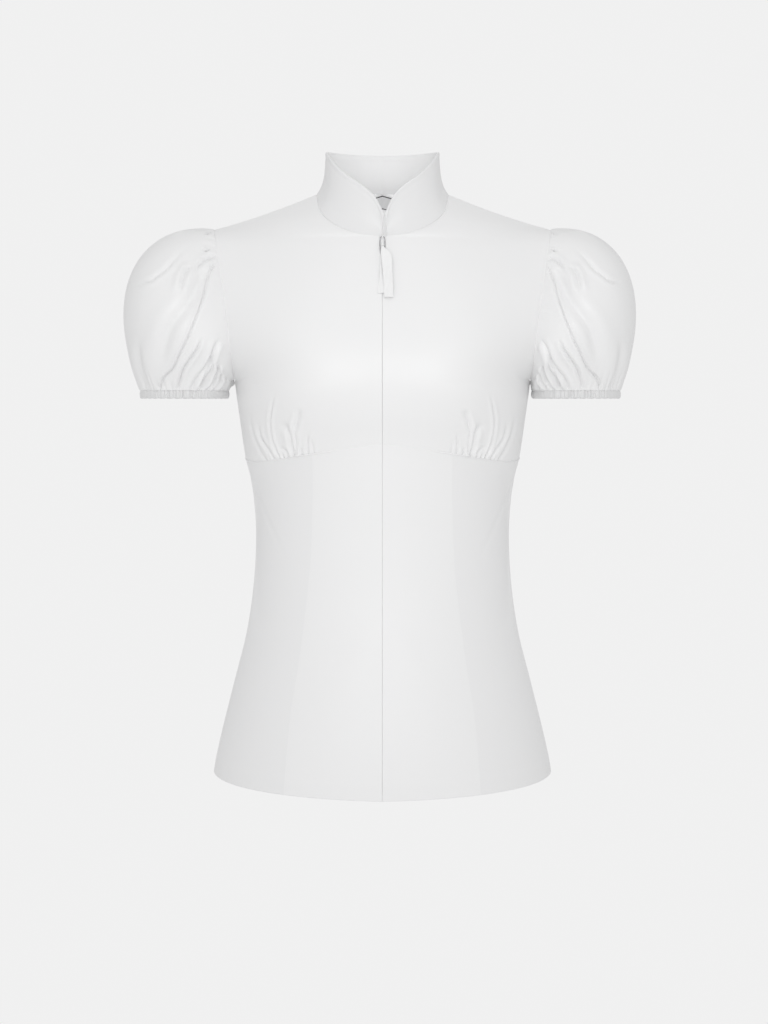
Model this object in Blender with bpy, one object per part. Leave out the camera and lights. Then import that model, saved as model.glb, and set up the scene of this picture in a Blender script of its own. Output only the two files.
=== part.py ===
"""A short-sleeved satin top with a stand collar, puff sleeves, a gathered under-bust seam and a
full-length front zip, filled out as it is when worn. Metres, +Z up, the front faces -Y.

The origin is the middle of the neck, level with the shoulder seams' inner ends. The wearer's
right is at -X. Each panel is a wall of cloth that follows one of three surfaces: the front and the
back of the body, which run from the hem to the shoulder seam, and the sleeve.
"""

import math
from collections import namedtuple

import bmesh
import bpy
import numpy as np
from mathutils import Vector

CLOTH = 0.0015
COLLAR_CLOTH = 0.0024
SEAM_GAP = 0.0003
HALF_GAP = SEAM_GAP / 2

# Distances up the side seam from the hem, and on round the edge of the armhole.
HEM = 0.0
UNDERBUST = 0.316
UNDERARM = 0.380
SHOULDER = 0.582

# One row for each section of the body, from the centre (c) to the side seam or armhole (o). reach
# and turn are the length and the heading, in degrees from +X, of the curve's handle at each end.
Section = namedtuple(
    "Section", "along c_x c_y c_z o_x o_y o_z reach_c turn_c reach_o turn_o lift_c lift_o"
)
FRONT = [
    Section(0.000, 0, -0.1240, -0.581, 0.1695, 0.006, -0.574, 0.104, 0, 0.070, 90, 0, 0),
    Section(0.042, 0, -0.1180, -0.537, 0.1600, 0.006, -0.532, 0.098, 0, 0.066, 90, 0, 0),
    Section(0.090, 0, -0.1105, -0.488, 0.1480, 0.006, -0.484, 0.090, 0, 0.062, 90, 0, 0),
    Section(0.138, 0, -0.1035, -0.439, 0.1360, 0.006, -0.436, 0.082, 0, 0.058, 90, 0, 0),
    Section(0.186, 0, -0.0975, -0.390, 0.1290, 0.006, -0.388, 0.078, 0, 0.055, 90, 0, 0),
    Section(0.234, 0, -0.0955, -0.341, 0.1265, 0.006, -0.340, 0.076, 0, 0.054, 90, 0, 0),
    Section(0.270, 0, -0.0965, -0.303, 0.1285, 0.006, -0.304, 0.077, 0, 0.054, 90, 0, -0.004),
    Section(0.294, 0, -0.0985, -0.275, 0.1320, 0.006, -0.280, 0.079, 0, 0.055, 90, -0.001, -0.01),
    Section(0.316, 0, -0.1015, -0.246, 0.1370, 0.006, -0.260, 0.082, 0, 0.056, 90, -0.003, -0.017),
    Section(0.348, 0, -0.1085, -0.216, 0.1425, 0.006, -0.224, 0.086, 0, 0.058, 90, -0.002, -0.008),
    Section(0.380, 0, -0.1120, -0.187, 0.1475, 0.004, -0.189, 0.088, 0, 0.054, 86, 0, -0.002),
    Section(0.402, 0, -0.1110, -0.167, 0.1474, -0.016, -0.182, 0.086, 0, 0.044, 70, 0, 0),
    Section(0.426, 0, -0.1060, -0.147, 0.1487, -0.037, -0.165, 0.082, 0, 0.040, 54, 0, 0),
    Section(0.452, 0, -0.0985, -0.126, 0.1507, -0.048, -0.142, 0.078, 0, 0.040, 42, 0, 0),
    Section(0.480, 0, -0.0890, -0.103, 0.1540, -0.049, -0.115, 0.074, 0, 0.040, 32, 0, 0),
    Section(0.506, 0, -0.0785, -0.081, 0.1580, -0.043, -0.089, 0.070, 0, 0.040, 25, 0, 0),
    Section(0.528, 0, -0.0685, -0.062, 0.1620, -0.033, -0.066, 0.066, 0, 0.040, 18, 0, 0),
    Section(0.546, 0, -0.0595, -0.046, 0.1645, -0.024, -0.050, 0.062, 0, 0.040, 13, 0, 0),
    Section(0.558, 0.024, -0.0560, -0.0415, 0.166, -0.0165, -0.042, 0.048, 4, 0.040, 9, 0.001, 0.001),
    Section(0.566, 0.0455, -0.0455, -0.0325, 0.167, -0.009, -0.0375, 0.040, 6, 0.038, 6, 0.001, 0.001),
    Section(0.575, 0.061, -0.0280, -0.0185, 0.168, -0.001, -0.0345, 0.035, 4, 0.036, 3, -0.001, -0.001),
    Section(0.582, 0.0665, 0.001, 0.0015, 0.1685, 0.006, -0.033, 0.034, 1, 0.034, 1, -0.003, -0.003),
]
BACK = [
    Section(0.000, 0, 0.1140, -0.576, 0.1695, 0.006, -0.574, 0.104, 0, 0.062, -90, 0, 0),
    Section(0.042, 0, 0.1090, -0.534, 0.1600, 0.006, -0.532, 0.098, 0, 0.060, -90, 0, 0),
    Section(0.090, 0, 0.1010, -0.486, 0.1480, 0.006, -0.484, 0.090, 0, 0.056, -90, 0, 0),
    Section(0.138, 0, 0.0920, -0.437, 0.1360, 0.006, -0.436, 0.082, 0, 0.052, -90, 0, 0),
    Section(0.186, 0, 0.0840, -0.389, 0.1290, 0.006, -0.388, 0.078, 0, 0.048, -90, 0, 0),
    Section(0.234, 0, 0.0810, -0.341, 0.1265, 0.006, -0.340, 0.076, 0, 0.046, -90, 0, 0),
    Section(0.270, 0, 0.0830, -0.305, 0.1285, 0.006, -0.304, 0.077, 0, 0.047, -90, 0, 0),
    Section(0.294, 0, 0.0850, -0.281, 0.1320, 0.006, -0.280, 0.079, 0, 0.048, -90, 0, 0),
    Section(0.316, 0, 0.0880, -0.259, 0.1370, 0.006, -0.260, 0.082, 0, 0.050, -90, 0, 0),
    Section(0.348, 0, 0.0925, -0.227, 0.1425, 0.006, -0.224, 0.086, 0, 0.052, -90, 0, 0),
    Section(0.380, 0, 0.0970, -0.195, 0.1475, 0.004, -0.189, 0.088, 0, 0.050, -86, 0, 0),
    Section(0.402, 0, 0.0995, -0.175, 0.1480, 0.025, -0.181, 0.086, 0, 0.042, -68, 0, 0),
    Section(0.426, 0, 0.1015, -0.153, 0.1503, 0.044, -0.163, 0.082, 0, 0.038, -52, 0, 0),
    Section(0.452, 0, 0.1020, -0.128, 0.1540, 0.056, -0.138, 0.078, 0, 0.038, -40, 0, 0),
    Section(0.480, 0, 0.1000, -0.101, 0.1580, 0.0595, -0.110, 0.074, 0, 0.040, -32, 0, 0),
    Section(0.506, 0, 0.0955, -0.075, 0.1620, 0.055, -0.085, 0.070, 0, 0.040, -26, 0, 0),
    Section(0.528, 0, 0.0880, -0.050, 0.1650, 0.046, -0.065, 0.066, 0, 0.040, -20, 0, 0),
    Section(0.546, 0, 0.0780, -0.026, 0.1668, 0.036, -0.050, 0.062, 0, 0.040, -14, 0, 0),
    Section(0.558, 0, 0.0660, -0.0065, 0.1676, 0.028, -0.0425, 0.056, 0, 0.040, -10, 0, 0),
    Section(0.566, 0, 0.0555, 0.008, 0.1680, 0.021, -0.038, 0.050, -4, 0.040, -8, 0, 0),
    Section(0.570, 0.024, 0.0530, 0.008, 0.1682, 0.0165, -0.036, 0.042, -8, 0.038, -6, 0, 0),
    Section(0.574, 0.045, 0.0420, 0.0075, 0.1684, 0.0130, -0.0348, 0.038, -8, 0.036, -4, -0.001, -0.001),
    Section(0.578, 0.060, 0.0240, 0.0055, 0.1685, 0.0095, -0.0338, 0.036, -4, 0.034, -2, -0.003, -0.003),
    Section(0.582, 0.0665, 0.001, 0.0015, 0.1685, 0.006, -0.033, 0.034, 1, 0.034, 1, -0.003, -0.003),
]
FRONT_NECK = 0.546
BACK_NECK = 0.566

# The fullness over the bust, which the gathers let in.
BUST_X, BUST_Z = 0.082, -0.186
BUST_FULLNESS = 0.0165
BUST_SPREAD_X, BUST_SPREAD_UP, BUST_SPREAD_DOWN = 0.042, 0.060, 0.037
# It ends at the side seam, from this share of the way across and up to this far along the armhole.
SIDE_FADE, ARMHOLE_FADE = 0.70, 0.426

# The gathers over the under-bust seam, each a soft trough that starts on the seam.
Gather = namedtuple("Gather", "seam_x top_x height depth half_width")
BUST_GATHERS = [
    Gather(0.1115, 0.1270, 0.052, 0.0030, 0.0024),
    Gather(0.1045, 0.1190, 0.043, 0.0028, 0.0024),
    Gather(0.0975, 0.1060, 0.066, 0.0030, 0.0024),
    Gather(0.0905, 0.0975, 0.020, 0.0024, 0.0024),
    Gather(0.0835, 0.0920, 0.038, 0.0032, 0.0026),
    Gather(0.0770, 0.0790, 0.046, 0.0032, 0.0026),
    Gather(0.0700, 0.0700, 0.034, 0.0022, 0.0024),
]
GATHERED_FROM, GATHERED_TO = 0.0665, 0.1150
COLUMNS_A_GATHER = 3

# The seam between the centre and side panels below the bust, by height.
Princess = namedtuple("Princess", "z x")
PRINCESS_SEAM = [
    Princess(-0.585, 0.0945),
    Princess(-0.508, 0.0880),
    Princess(-0.452, 0.0795),
    Princess(-0.395, 0.0725),
    Princess(-0.358, 0.0690),
    Princess(-0.300, 0.0670),
    Princess(-0.240, 0.0670),
]

# The centre-front edges, which part round the zip's slider near the neck.
ZIP_EDGE = 0.0006
Opening = namedtuple("Opening", "z x")
ZIP_OPENING = [
    Opening(-0.0800, ZIP_EDGE),
    Opening(-0.0680, 0.0022),
    Opening(-0.0600, 0.0042),
    Opening(-0.0520, 0.0046),
    Opening(-0.0450, 0.0026),
]
# The collar's free edge, by its share of the way from centre front to centre back.
CollarEdge = namedtuple("CollarEdge", "share x y z")
COLLAR_EDGE = [
    CollarEdge(0.028, 0.0022, -0.0570, -0.0210),
    CollarEdge(0.060, 0.0042, -0.0558, -0.0115),
    CollarEdge(0.103, 0.0095, -0.0540, -0.0035),
    CollarEdge(0.167, 0.0200, -0.0500, 0.0058),
    CollarEdge(0.278, 0.0365, -0.0405, 0.0175),
    CollarEdge(0.403, 0.0488, -0.0255, 0.0305),
    CollarEdge(0.458, 0.0549, -0.0100, 0.0400),
    CollarEdge(0.500, 0.0570, 0.0030, 0.0440),
    CollarEdge(0.625, 0.0520, 0.0240, 0.0462),
    CollarEdge(0.750, 0.0390, 0.0395, 0.0464),
    CollarEdge(0.875, 0.0205, 0.0495, 0.0462),
    CollarEdge(1.000, 0.0000, 0.0515, 0.0460),
]
COLLAR_ROWS = 4
COLLAR_ROLL = 0.0012

# The sleeve: turn runs round it from the shoulder, down the front, to the underarm and up the
# back. leave and arrive are the handles of its curves at the armhole and at the cuff.
Puff = namedtuple("Puff", "turn leave_x leave_y leave_z arrive_x arrive_y arrive_z")
PUFF = [
    Puff(0.000, 0.078, 0.000, 0.010, 0.042, 0.000, 0.098),
    Puff(0.125, 0.062, -0.030, 0.008, 0.032, -0.026, 0.086),
    Puff(0.250, 0.034, -0.036, 0.000, 0.010, -0.032, 0.054),
    Puff(0.375, 0.013, -0.022, -0.003, -0.002, -0.016, 0.020),
    Puff(0.500, 0.003, 0.000, 0.001, -0.002, 0.000, 0.002),
    Puff(0.625, 0.013, 0.022, -0.003, -0.002, 0.016, 0.020),
    Puff(0.750, 0.034, 0.034, 0.000, 0.010, 0.032, 0.054),
    Puff(0.875, 0.062, 0.028, 0.008, 0.032, 0.026, 0.086),
]
CUFF_Y = 0.002
CUFF_X = {"right": 0.1980, "left": 0.1935}
CUFF_TOP, CUFF_HEIGHT = -0.1940, 0.0085
CUFF_HALF_X, CUFF_HALF_Y = 0.0435, 0.0510
CUFF_CLOTH = 0.0020
CUFF_BULGE = 0.0008
CUFF_RIB = 0.0003
CUFF_COLUMNS = 48
SLEEVE_REACH = {"right": 1.0, "left": 0.94}

SLEEVE_COLUMNS = 80
SLEEVE_ROWS = (0, 0.07, 0.17, 0.30, 0.45, 0.60, 0.74, 0.86, 0.95, 1)
SLEEVE_WAVES = 20
CAP_WAVE, CUFF_WAVE = 0.0020, 0.0026

# The long creases of each sleeve, each through three places seen from the front.
Crease = namedtuple("Crease", "x_a z_a x_b z_b x_c z_c depth half_width")
SLEEVE_CREASES = [
    Crease(0.1617, -0.0718, 0.1726, -0.1046, 0.2118, -0.1835, 0.0034, 0.0046),
    Crease(0.1686, -0.0747, 0.1906, -0.1152, 0.2137, -0.1625, 0.0030, 0.0070),
    Crease(0.1559, -0.1486, 0.1597, -0.1731, 0.1751, -0.1924, 0.0036, 0.0044),
    Crease(0.1834, -0.0728, 0.1925, -0.0878, 0.1964, -0.1046, 0.0020, 0.0060),
    Crease(0.1732, -0.1428, 0.1854, -0.1654, 0.1983, -0.1924, 0.0034, 0.0044),
    Crease(0.1621, -0.1602, 0.1699, -0.1719, 0.1841, -0.1924, 0.0028, 0.0036),
    Crease(0.2371, -0.0901, 0.2177, -0.0840, 0.1858, -0.0530, 0.0020, 0.0070),
    Crease(0.1616, -0.0649, 0.1725, -0.0699, 0.1809, -0.0840, 0.0022, 0.0050),
]

# The sections at which the panels of the body are drawn.
FRONT_UPPER_ROWS = (UNDERBUST + HALF_GAP, 0.322, 0.330, 0.340, 0.353, 0.368, UNDERARM, 0.400)
FRONT_UPPER_ROWS += (0.426, 0.452, 0.480, 0.506, 0.522, 0.531, 0.539, FRONT_NECK)
FRONT_NECK_ROWS = (0.551, 0.556, 0.561, 0.566, 0.571, 0.576, SHOULDER)
LOWER_ROWS, CENTRE_COLUMNS, SIDE_COLUMNS = 10, 5, 6
LABEL_LOW = 0.558
BACK_ROWS = (HEM, 0.042, 0.084, 0.126, 0.160, 0.194, 0.228, 0.272, UNDERBUST, 0.348)
BACK_ROWS += (UNDERARM, 0.402, 0.426, 0.452, 0.480, 0.506, 0.528, 0.545, LABEL_LOW, BACK_NECK)
BACK_NECK_ROWS = (0.5685, 0.571, 0.574, 0.578, SHOULDER)
BACK_COLUMNS = 8
EDGE_FADE = 0.2

TAPE_HALF = 0.011
TAPE_CLOTH = 0.001
TAPE_GAP = 0.0005
TAPE_TOP = 0.5435

# The zip's slider, the wire loop that hinges on it and the satin ribbon drawn through the loop.
# lift is measured out from the front's surface, down from the hinge.
HINGE_Z, HINGE_LIFT = -0.0470, 0.0024
Plate = namedtuple("Plate", "down half_width")
PLATE = [
    Plate(-0.0022, 0.0012),
    Plate(0.0020, 0.0024),
    Plate(0.0085, 0.0024),
    Plate(0.0100, 0.0016),
]
PLATE_BACK, PLATE_FRONT = -0.0017, 0.0015
CROWN_RADIUS, CROWN_WIRE, CROWN_STEPS = 0.0024, 0.0005, 8
LOOP_HALF_WIDTH, LOOP_LENGTH, LOOP_WIRE = 0.0021, 0.0125, 0.0004
LOOP_ROUNDING, LOOP_STEPS = 0.4, 2
WIRE_SIDES = 8
RIBBON_CLOTH, RIBBON_STEPS, RIBBON_PINCH = 0.001, 6, 0.0010
RibbonRib = namedtuple("RibbonRib", "down middle half_width lift")
RIBBON_BACK = [
    RibbonRib(0.0546, -0.0012, 0.0042, 0.0010),
    RibbonRib(0.0440, -0.0006, 0.0040, 0.0010),
    RibbonRib(0.0300, 0.0002, 0.0036, 0.0010),
    RibbonRib(0.0180, 0.0003, 0.0026, 0.0010),
]
RIBBON_FRONT = [
    RibbonRib(0.0180, 0.0028, 0.0032, 0.0034),
    RibbonRib(0.0300, 0.0048, 0.0041, 0.0027),
    RibbonRib(0.0440, 0.0057, 0.0044, 0.0026),
    RibbonRib(0.0585, 0.0065, 0.0046, 0.0026),
]

LABEL_HALF, LABEL_CLOTH, LABEL_GAP = 0.012, 0.001, 0.0010
LABEL_ROWS = (0.5650, LABEL_LOW)

STEP = 0.0004
SHARP_FROM = 50.0
NECK_RIM_TILT = 0.25
SIDE_SHIFT = np.array([0.0, HALF_GAP, 0.0])
MIRROR = np.array([-1.0, 1.0, 1.0])


def clear_scene():
    for thing in list(bpy.data.objects):
        bpy.data.objects.remove(thing)


def smooth(low, high, value):
    """0 below low, 1 above high, and an easy rise between."""
    t = min(1.0, max(0.0, (value - low) / (high - low)))
    return t * t * (3 - 2 * t)


def spaced(first, last, steps):
    return [first + (last - first) * i / steps for i in range(steps + 1)]


def unit(vector):
    return vector / np.linalg.norm(vector)


def read(table, key):
    """The row of a table at key, on a smooth curve through the rows."""
    last = len(table) - 1
    i = min(max(sum(row[0] <= key for row in table) - 1, 0), last - 1)
    near = [np.array(table[min(max(j, 0), last)], float) for j in range(i - 1, i + 3)]
    before, a, b, after = near
    span = b[0] - a[0]
    slope_a = (b - before) / (b[0] - before[0])
    slope_b = (after - a) / (after[0] - a[0])
    t = (key - a[0]) / span
    value = (
        (2 * t**3 - 3 * t**2 + 1) * a
        + (t**3 - 2 * t**2 + t) * span * slope_a
        + (3 * t**2 - 2 * t**3) * b
        + (t**3 - t**2) * span * slope_b
    )
    return type(table[0])(*value)


def curve(a, b, c, d, t):
    """A cubic curve from a to d with the handles b and c."""
    s = 1 - t
    return s**3 * a + 3 * s**2 * t * b + 3 * s * t**2 * c + t**3 * d


def heading(degrees):
    turn = math.radians(degrees)
    return np.array([math.cos(turn), math.sin(turn), 0.0])


def body_point(table, across, along):
    """A point of the front or back, from the centre (across 0) to the side or armhole (1)."""
    row = read(table, along)
    start = np.array([max(row.c_x, 0.0), row.c_y, row.c_z])
    end = np.array([row.o_x, row.o_y, row.o_z])
    if along < UNDERARM:
        # The front and the back share the line of the side seam.
        other = read(BACK if table is FRONT else FRONT, along)
        end = (end + np.array([other.o_x, other.o_y, other.o_z])) / 2
    third = np.array([0.0, 0.0, (end[2] - row.c_z) / 3])
    lift_c = np.array([0.0, 0.0, row.lift_c])
    lift_o = np.array([0.0, 0.0, row.lift_o])
    point = curve(
        start,
        start + row.reach_c * heading(row.turn_c) + third + lift_c,
        end - row.reach_o * heading(row.turn_o) - third + lift_o,
        end,
        across,
    )
    if table is FRONT:
        spread = BUST_SPREAD_UP if point[2] > BUST_Z else BUST_SPREAD_DOWN
        off = ((point[0] - BUST_X) / BUST_SPREAD_X) ** 2 + ((point[2] - BUST_Z) / spread) ** 2
        fade = smooth(SIDE_FADE, 1, across) * (1 - smooth(UNDERARM, ARMHOLE_FADE, along))
        point[1] -= BUST_FULLNESS * math.exp(-off / 2) * (1 - fade)
    return point


def front_surface(across, along):
    return body_point(FRONT, across, along)


def back_surface(across, along):
    return body_point(BACK, across, along)


def normal_of(surface, a, b, outward):
    """The normal of a surface of two numbers, on the side that outward names."""
    slope_a = surface(a + STEP, b) - surface(a - STEP, b)
    slope_b = surface(a, b + STEP) - surface(a, b - STEP)
    normal = unit(np.cross(slope_a, slope_b))
    return normal if normal @ outward > 0 else -normal


def front_normal(across, along):
    return normal_of(front_surface, max(across, STEP), along, np.array([0.4, -1.0, 0.5]))


def back_normal(across, along):
    return normal_of(back_surface, max(across, STEP), along, np.array([0.4, 1.0, 0.5]))


def panel_normals(normal_at, columns, along, neck):
    """The normals of one section, shared along the shoulder and turned up at the neck's edge."""
    normals = [normal_at(across, along) for across in columns]
    if along == SHOULDER:
        pairs = [(front_normal(across, along), back_normal(across, along)) for across in columns]
        normals = [unit(a + b) for a, b in pairs]
    if along >= neck:
        x, y, z = normals[0]
        normals[0] = unit(np.array([x, y, max(z, NECK_RIM_TILT)]))
    return normals


def front_edge_point(across, along):
    """A point of the front with its edge drawn back from the zip."""
    point = front_surface(across, along)
    centre = front_surface(0, along)
    edge = ZIP_EDGE
    if centre[2] > ZIP_OPENING[0].z:
        edge = max(edge, read(ZIP_OPENING, min(centre[2], ZIP_OPENING[-1].z)).x)
    point[0] += max(0.0, edge - centre[0]) * max(0.0, 1 - across / EDGE_FADE)
    return point


def find_across(surface, x, along):
    """Where a section of the body passes a given distance from the centre."""
    low, high = 0.0, 1.0
    for _ in range(30):
        middle = (low + high) / 2
        if surface(middle, along)[0] < x:
            low = middle
        else:
            high = middle
    return (low + high) / 2


def centre_front(z):
    """The point of the front's centre line at a height, and the outward normal there."""
    low, high = HEM, FRONT_NECK
    for _ in range(30):
        along = (low + high) / 2
        if front_surface(0, along)[2] < z:
            low = along
        else:
            high = along
    normal = front_normal(0, along) * np.array([0, 1, 1])
    return front_surface(0, along), unit(normal)


def gather_depth(x, height):
    """How deep the gathers are at a distance from the centre and a height over the seam."""
    depth = 0.0
    for gather in BUST_GATHERS:
        share = height / gather.height
        if share >= 1:
            continue
        middle = gather.seam_x + (gather.top_x - gather.seam_x) * share**1.5
        width = gather.half_width * (1 + 0.6 * share)
        depth += gather.depth * (1 - share) ** 0.8 * math.exp(-(((x - middle) / width) ** 2))
    return depth * smooth(-0.004, 0.007, height)


def material(name, colour, roughness, metallic=0.0):
    made = bpy.data.materials.new(name)
    made.use_nodes = True
    shader = made.node_tree.nodes["Principled BSDF"]
    shader.inputs["Base Color"].default_value = (*colour, 1.0)
    shader.inputs["Roughness"].default_value = roughness
    shader.inputs["Metallic"].default_value = metallic
    return made


def add_object(name, mesh, finish, collection):
    bmesh.ops.recalc_face_normals(mesh, faces=mesh.faces)
    data = bpy.data.meshes.new(name)
    mesh.to_mesh(data)
    mesh.free()
    data.materials.append(finish)
    data.shade_smooth()
    data.set_sharp_from_angle(angle=math.radians(SHARP_FROM))
    made = bpy.data.objects.new(name, data)
    collection.objects.link(made)
    return made


def grid_faces(rows, columns, ring=False):
    """Faces between the points of a grid, numbered row by row. ring joins each row's ends."""
    faces = []
    for i in range(rows - 1):
        for j in range(columns if ring else columns - 1):
            k = (j + 1) % columns
            a, b = i * columns, (i + 1) * columns
            faces.append((a + j, a + k, b + k, b + j))
    return faces


def add_wall(name, outer, inner, faces, finish, collection, side="left"):
    """A closed wall between two skins with the same faces, joined round their open edges."""
    flip = MIRROR if side == "right" else np.ones(3)
    numbers = {}
    places = [numbers.setdefault(tuple(np.round(point, 7) + 0.0), len(numbers)) for point in outer]
    mesh = bmesh.new()
    skins = []
    for skin in (outer, inner):
        found = dict(zip(places, skin))
        skins.append([mesh.verts.new(Vector(found[i] * flip)) for i in range(len(numbers))])
    uses = {}
    for face in faces:
        corners = [places[i] for i in face]
        for skin in skins:
            mesh.faces.new([skin[i] for i in corners])
        for edge in zip(corners, corners[1:] + corners[:1]):
            uses[frozenset(edge)] = uses.get(frozenset(edge), 0) + 1
    for a, b in (edge for edge, count in uses.items() if count == 1):
        mesh.faces.new((skins[0][a], skins[0][b], skins[1][b], skins[1][a]))
    return add_object(name, mesh, finish, collection)


def add_grid(name, outer, inner, finish, collection, side="left", ring=False):
    faces = grid_faces(len(outer), len(outer[0]), ring)
    return add_wall(name, sum(outer, []), sum(inner, []), faces, finish, collection, side)


def front_upper_columns():
    """Shares of the way across the bust panel, close together where it is gathered."""
    start = find_across(front_surface, GATHERED_FROM, UNDERBUST)
    end = find_across(front_surface, GATHERED_TO, UNDERBUST)
    gathered = spaced(start, end, len(BUST_GATHERS) * COLUMNS_A_GATHER)
    return spaced(0, start, 4)[:-1] + gathered + spaced(end, 1, 3)[1:]


def add_front_upper(side, finish, collection):
    """The bust panel, from the under-bust seam to the shoulder, with its gathers."""
    columns = front_upper_columns()
    outer, inner = [], []
    for along in FRONT_UPPER_ROWS + FRONT_NECK_ROWS:
        points = [front_edge_point(across, along) for across in columns]
        normals = panel_normals(front_normal, columns, along, FRONT_NECK)
        depths = [gather_depth(p[0], along - UNDERBUST) for p in points]
        if along <= UNDERARM:
            points[-1] = points[-1] - SIDE_SHIFT
        if along == SHOULDER:
            points = [p - SIDE_SHIFT for p in points]
        outer.append([p - d * n for p, d, n in zip(points, depths, normals)])
        inner.append([p - (d + CLOTH) * n for p, d, n in zip(points, depths, normals)])
    add_grid(f"front_bust_{side}", outer, inner, finish, collection, side)


def princess_across(along):
    """Where the seam below the bust crosses a section."""
    near = find_across(front_surface, PRINCESS_SEAM[-1].x, along)
    z = front_surface(near, along)[2]
    return find_across(front_surface, read(PRINCESS_SEAM, z).x, along)


def add_front_lower(side, centre, finish, collection):
    """The centre panel beside the zip, or the side panel beyond the seam below the bust."""
    outer, inner = [], []
    for along in spaced(HEM, UNDERBUST - HALF_GAP, LOWER_ROWS):
        seam = princess_across(along)
        width = np.linalg.norm(front_surface(seam + STEP, along) - front_surface(seam, along))
        gap = HALF_GAP * STEP / width
        if centre:
            columns = spaced(0, seam - gap, CENTRE_COLUMNS)
            points = [front_edge_point(across, along) for across in columns]
        else:
            columns = spaced(seam + gap, 1, SIDE_COLUMNS)
            points = [front_surface(across, along) for across in columns]
            points[-1] = points[-1] - SIDE_SHIFT
        normals = [front_normal(across, along) for across in columns]
        outer.append(points)
        inner.append([p - CLOTH * n for p, n in zip(points, normals)])
    place = "centre" if centre else "side"
    add_grid(f"front_{place}_{side}", outer, inner, finish, collection, side)


def add_back(finish, collection):
    """The back, one piece from side seam to side seam, open at the neck."""
    columns = spaced(0, 1, BACK_COLUMNS)
    rows = BACK_ROWS + BACK_NECK_ROWS
    outer, inner = [], []
    for along in rows:
        points = [back_surface(across, along) for across in columns]
        normals = panel_normals(back_normal, columns, along, BACK_NECK)
        if along <= BACK_NECK:
            normals[0] = unit(normals[0] * np.array([0, 1, 1]))
        if along <= UNDERARM:
            points[-1] = points[-1] + SIDE_SHIFT
        if along == SHOULDER:
            points = [p + SIDE_SHIFT for p in points]
        outer += points
        inner += [p - CLOTH * n for p, n in zip(points, normals)]
    faces = grid_faces(len(rows), len(columns))
    faces += [tuple(i + len(outer) for i in face[::-1]) for face in faces]
    outer += [p * MIRROR for p in outer]
    inner += [p * MIRROR for p in inner]
    add_wall("back", outer, inner, faces, finish, collection)


def armhole_corners():
    """The corners of the armhole's edge, at each section of the panels, by their turn."""
    corners = []
    front = [a for a in FRONT_UPPER_ROWS + FRONT_NECK_ROWS if a >= UNDERARM]
    back = [a for a in BACK_ROWS + BACK_NECK_ROWS if UNDERARM < a < SHOULDER]
    for along in front[::-1]:
        turn = (SHOULDER - along) / (SHOULDER - UNDERARM) / 2
        normal = panel_normals(front_normal, [1.0, 1.0], along, SHOULDER + 1)[1]
        corners.append((turn, front_surface(1, along), normal))
    for along in back:
        turn = 1 - (SHOULDER - along) / (SHOULDER - UNDERARM) / 2
        corners.append((turn, back_surface(1, along), back_normal(1, along)))
    corners.append((1.0, corners[0][1], corners[0][2]))
    return corners


def armhole(corners, turn):
    """A point of the armhole's edge and the body's normal there."""
    turn %= 1.0
    i = max(k for k, corner in enumerate(corners[:-1]) if corner[0] <= turn)
    (turn_a, point_a, normal_a), (turn_b, point_b, normal_b) = corners[i : i + 2]
    share = (turn - turn_a) / (turn_b - turn_a)
    return point_a + (point_b - point_a) * share, unit(normal_a * (1 - share) + normal_b * share)


def read_puff(turn):
    """The sleeve's handles at a turn, read round and round the table."""
    count = len(PUFF)
    rows = [PUFF[i % count] for i in range(-2, count + 3)]
    rows = [row._replace(turn=(i - 2) / count) for i, row in enumerate(rows)]
    return read(rows, turn % 1.0)


def cuff_point(turn, side, grow, z):
    """A point of the cuff's ring, grown outwards."""
    angle = 2 * math.pi * turn
    x = CUFF_X[side] + (CUFF_HALF_X + grow) * math.cos(angle)
    return np.array([x, CUFF_Y - (CUFF_HALF_Y + grow) * math.sin(angle), z])


def sleeve_point(corners, side, turn, down):
    """A point of the smooth sleeve, from the armhole (down 0) to the cuff (1)."""
    edge, normal = armhole(corners, turn)
    ahead, _ = armhole(corners, turn + STEP)
    behind, _ = armhole(corners, turn - STEP)
    start = edge + SEAM_GAP * unit(np.cross(normal, ahead - behind))
    end = cuff_point(turn, side, 0.0, CUFF_TOP)
    row = read_puff(turn)
    reach = SLEEVE_REACH[side]
    leave = np.array([row.leave_x * reach, row.leave_y, row.leave_z])
    arrive = np.array([row.arrive_x * reach, row.arrive_y, row.arrive_z])
    return curve(start, start + leave, end + arrive, end, down)


def crease_depth(point):
    """How deep the sleeve's creases are at a point, seen from the front or from the back."""
    depth = 0.0
    here = np.array([abs(point[0]), point[2]])
    for crease in SLEEVE_CREASES:
        knots = [np.array([crease[i], crease[i + 1]]) for i in (0, 2, 4)]
        nearest = []
        for part, (a, b) in enumerate(zip(knots, knots[1:])):
            share = min(1.0, max(0.0, (here - a) @ (b - a) / ((b - a) @ (b - a))))
            nearest.append((np.linalg.norm(here - a - share * (b - a)), (part + share) / 2))
        off, share = min(nearest)
        ends = smooth(0, 0.2, share) * smooth(0, 0.2, 1 - share)
        depth += crease.depth * ends * math.exp(-((off / crease.half_width) ** 2))
    return depth


def sleeve_wave(turn, down):
    """How far the gathers at the cap and at the cuff stand out from the smooth sleeve."""
    from_underarm = abs(turn - 0.5)
    cuff = CUFF_WAVE * smooth(0.70, 0.90, down) * (1 - 0.5 * smooth(0.92, 1, down))
    cuff *= smooth(0.10, 0.22, from_underarm)
    cap = CAP_WAVE * smooth(0, 0.08, down) * (1 - smooth(0.12, 0.32, down))
    cap *= smooth(0.24, 0.34, from_underarm)
    return (cuff + cap) * math.cos(2 * math.pi * SLEEVE_WAVES * turn)


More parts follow.
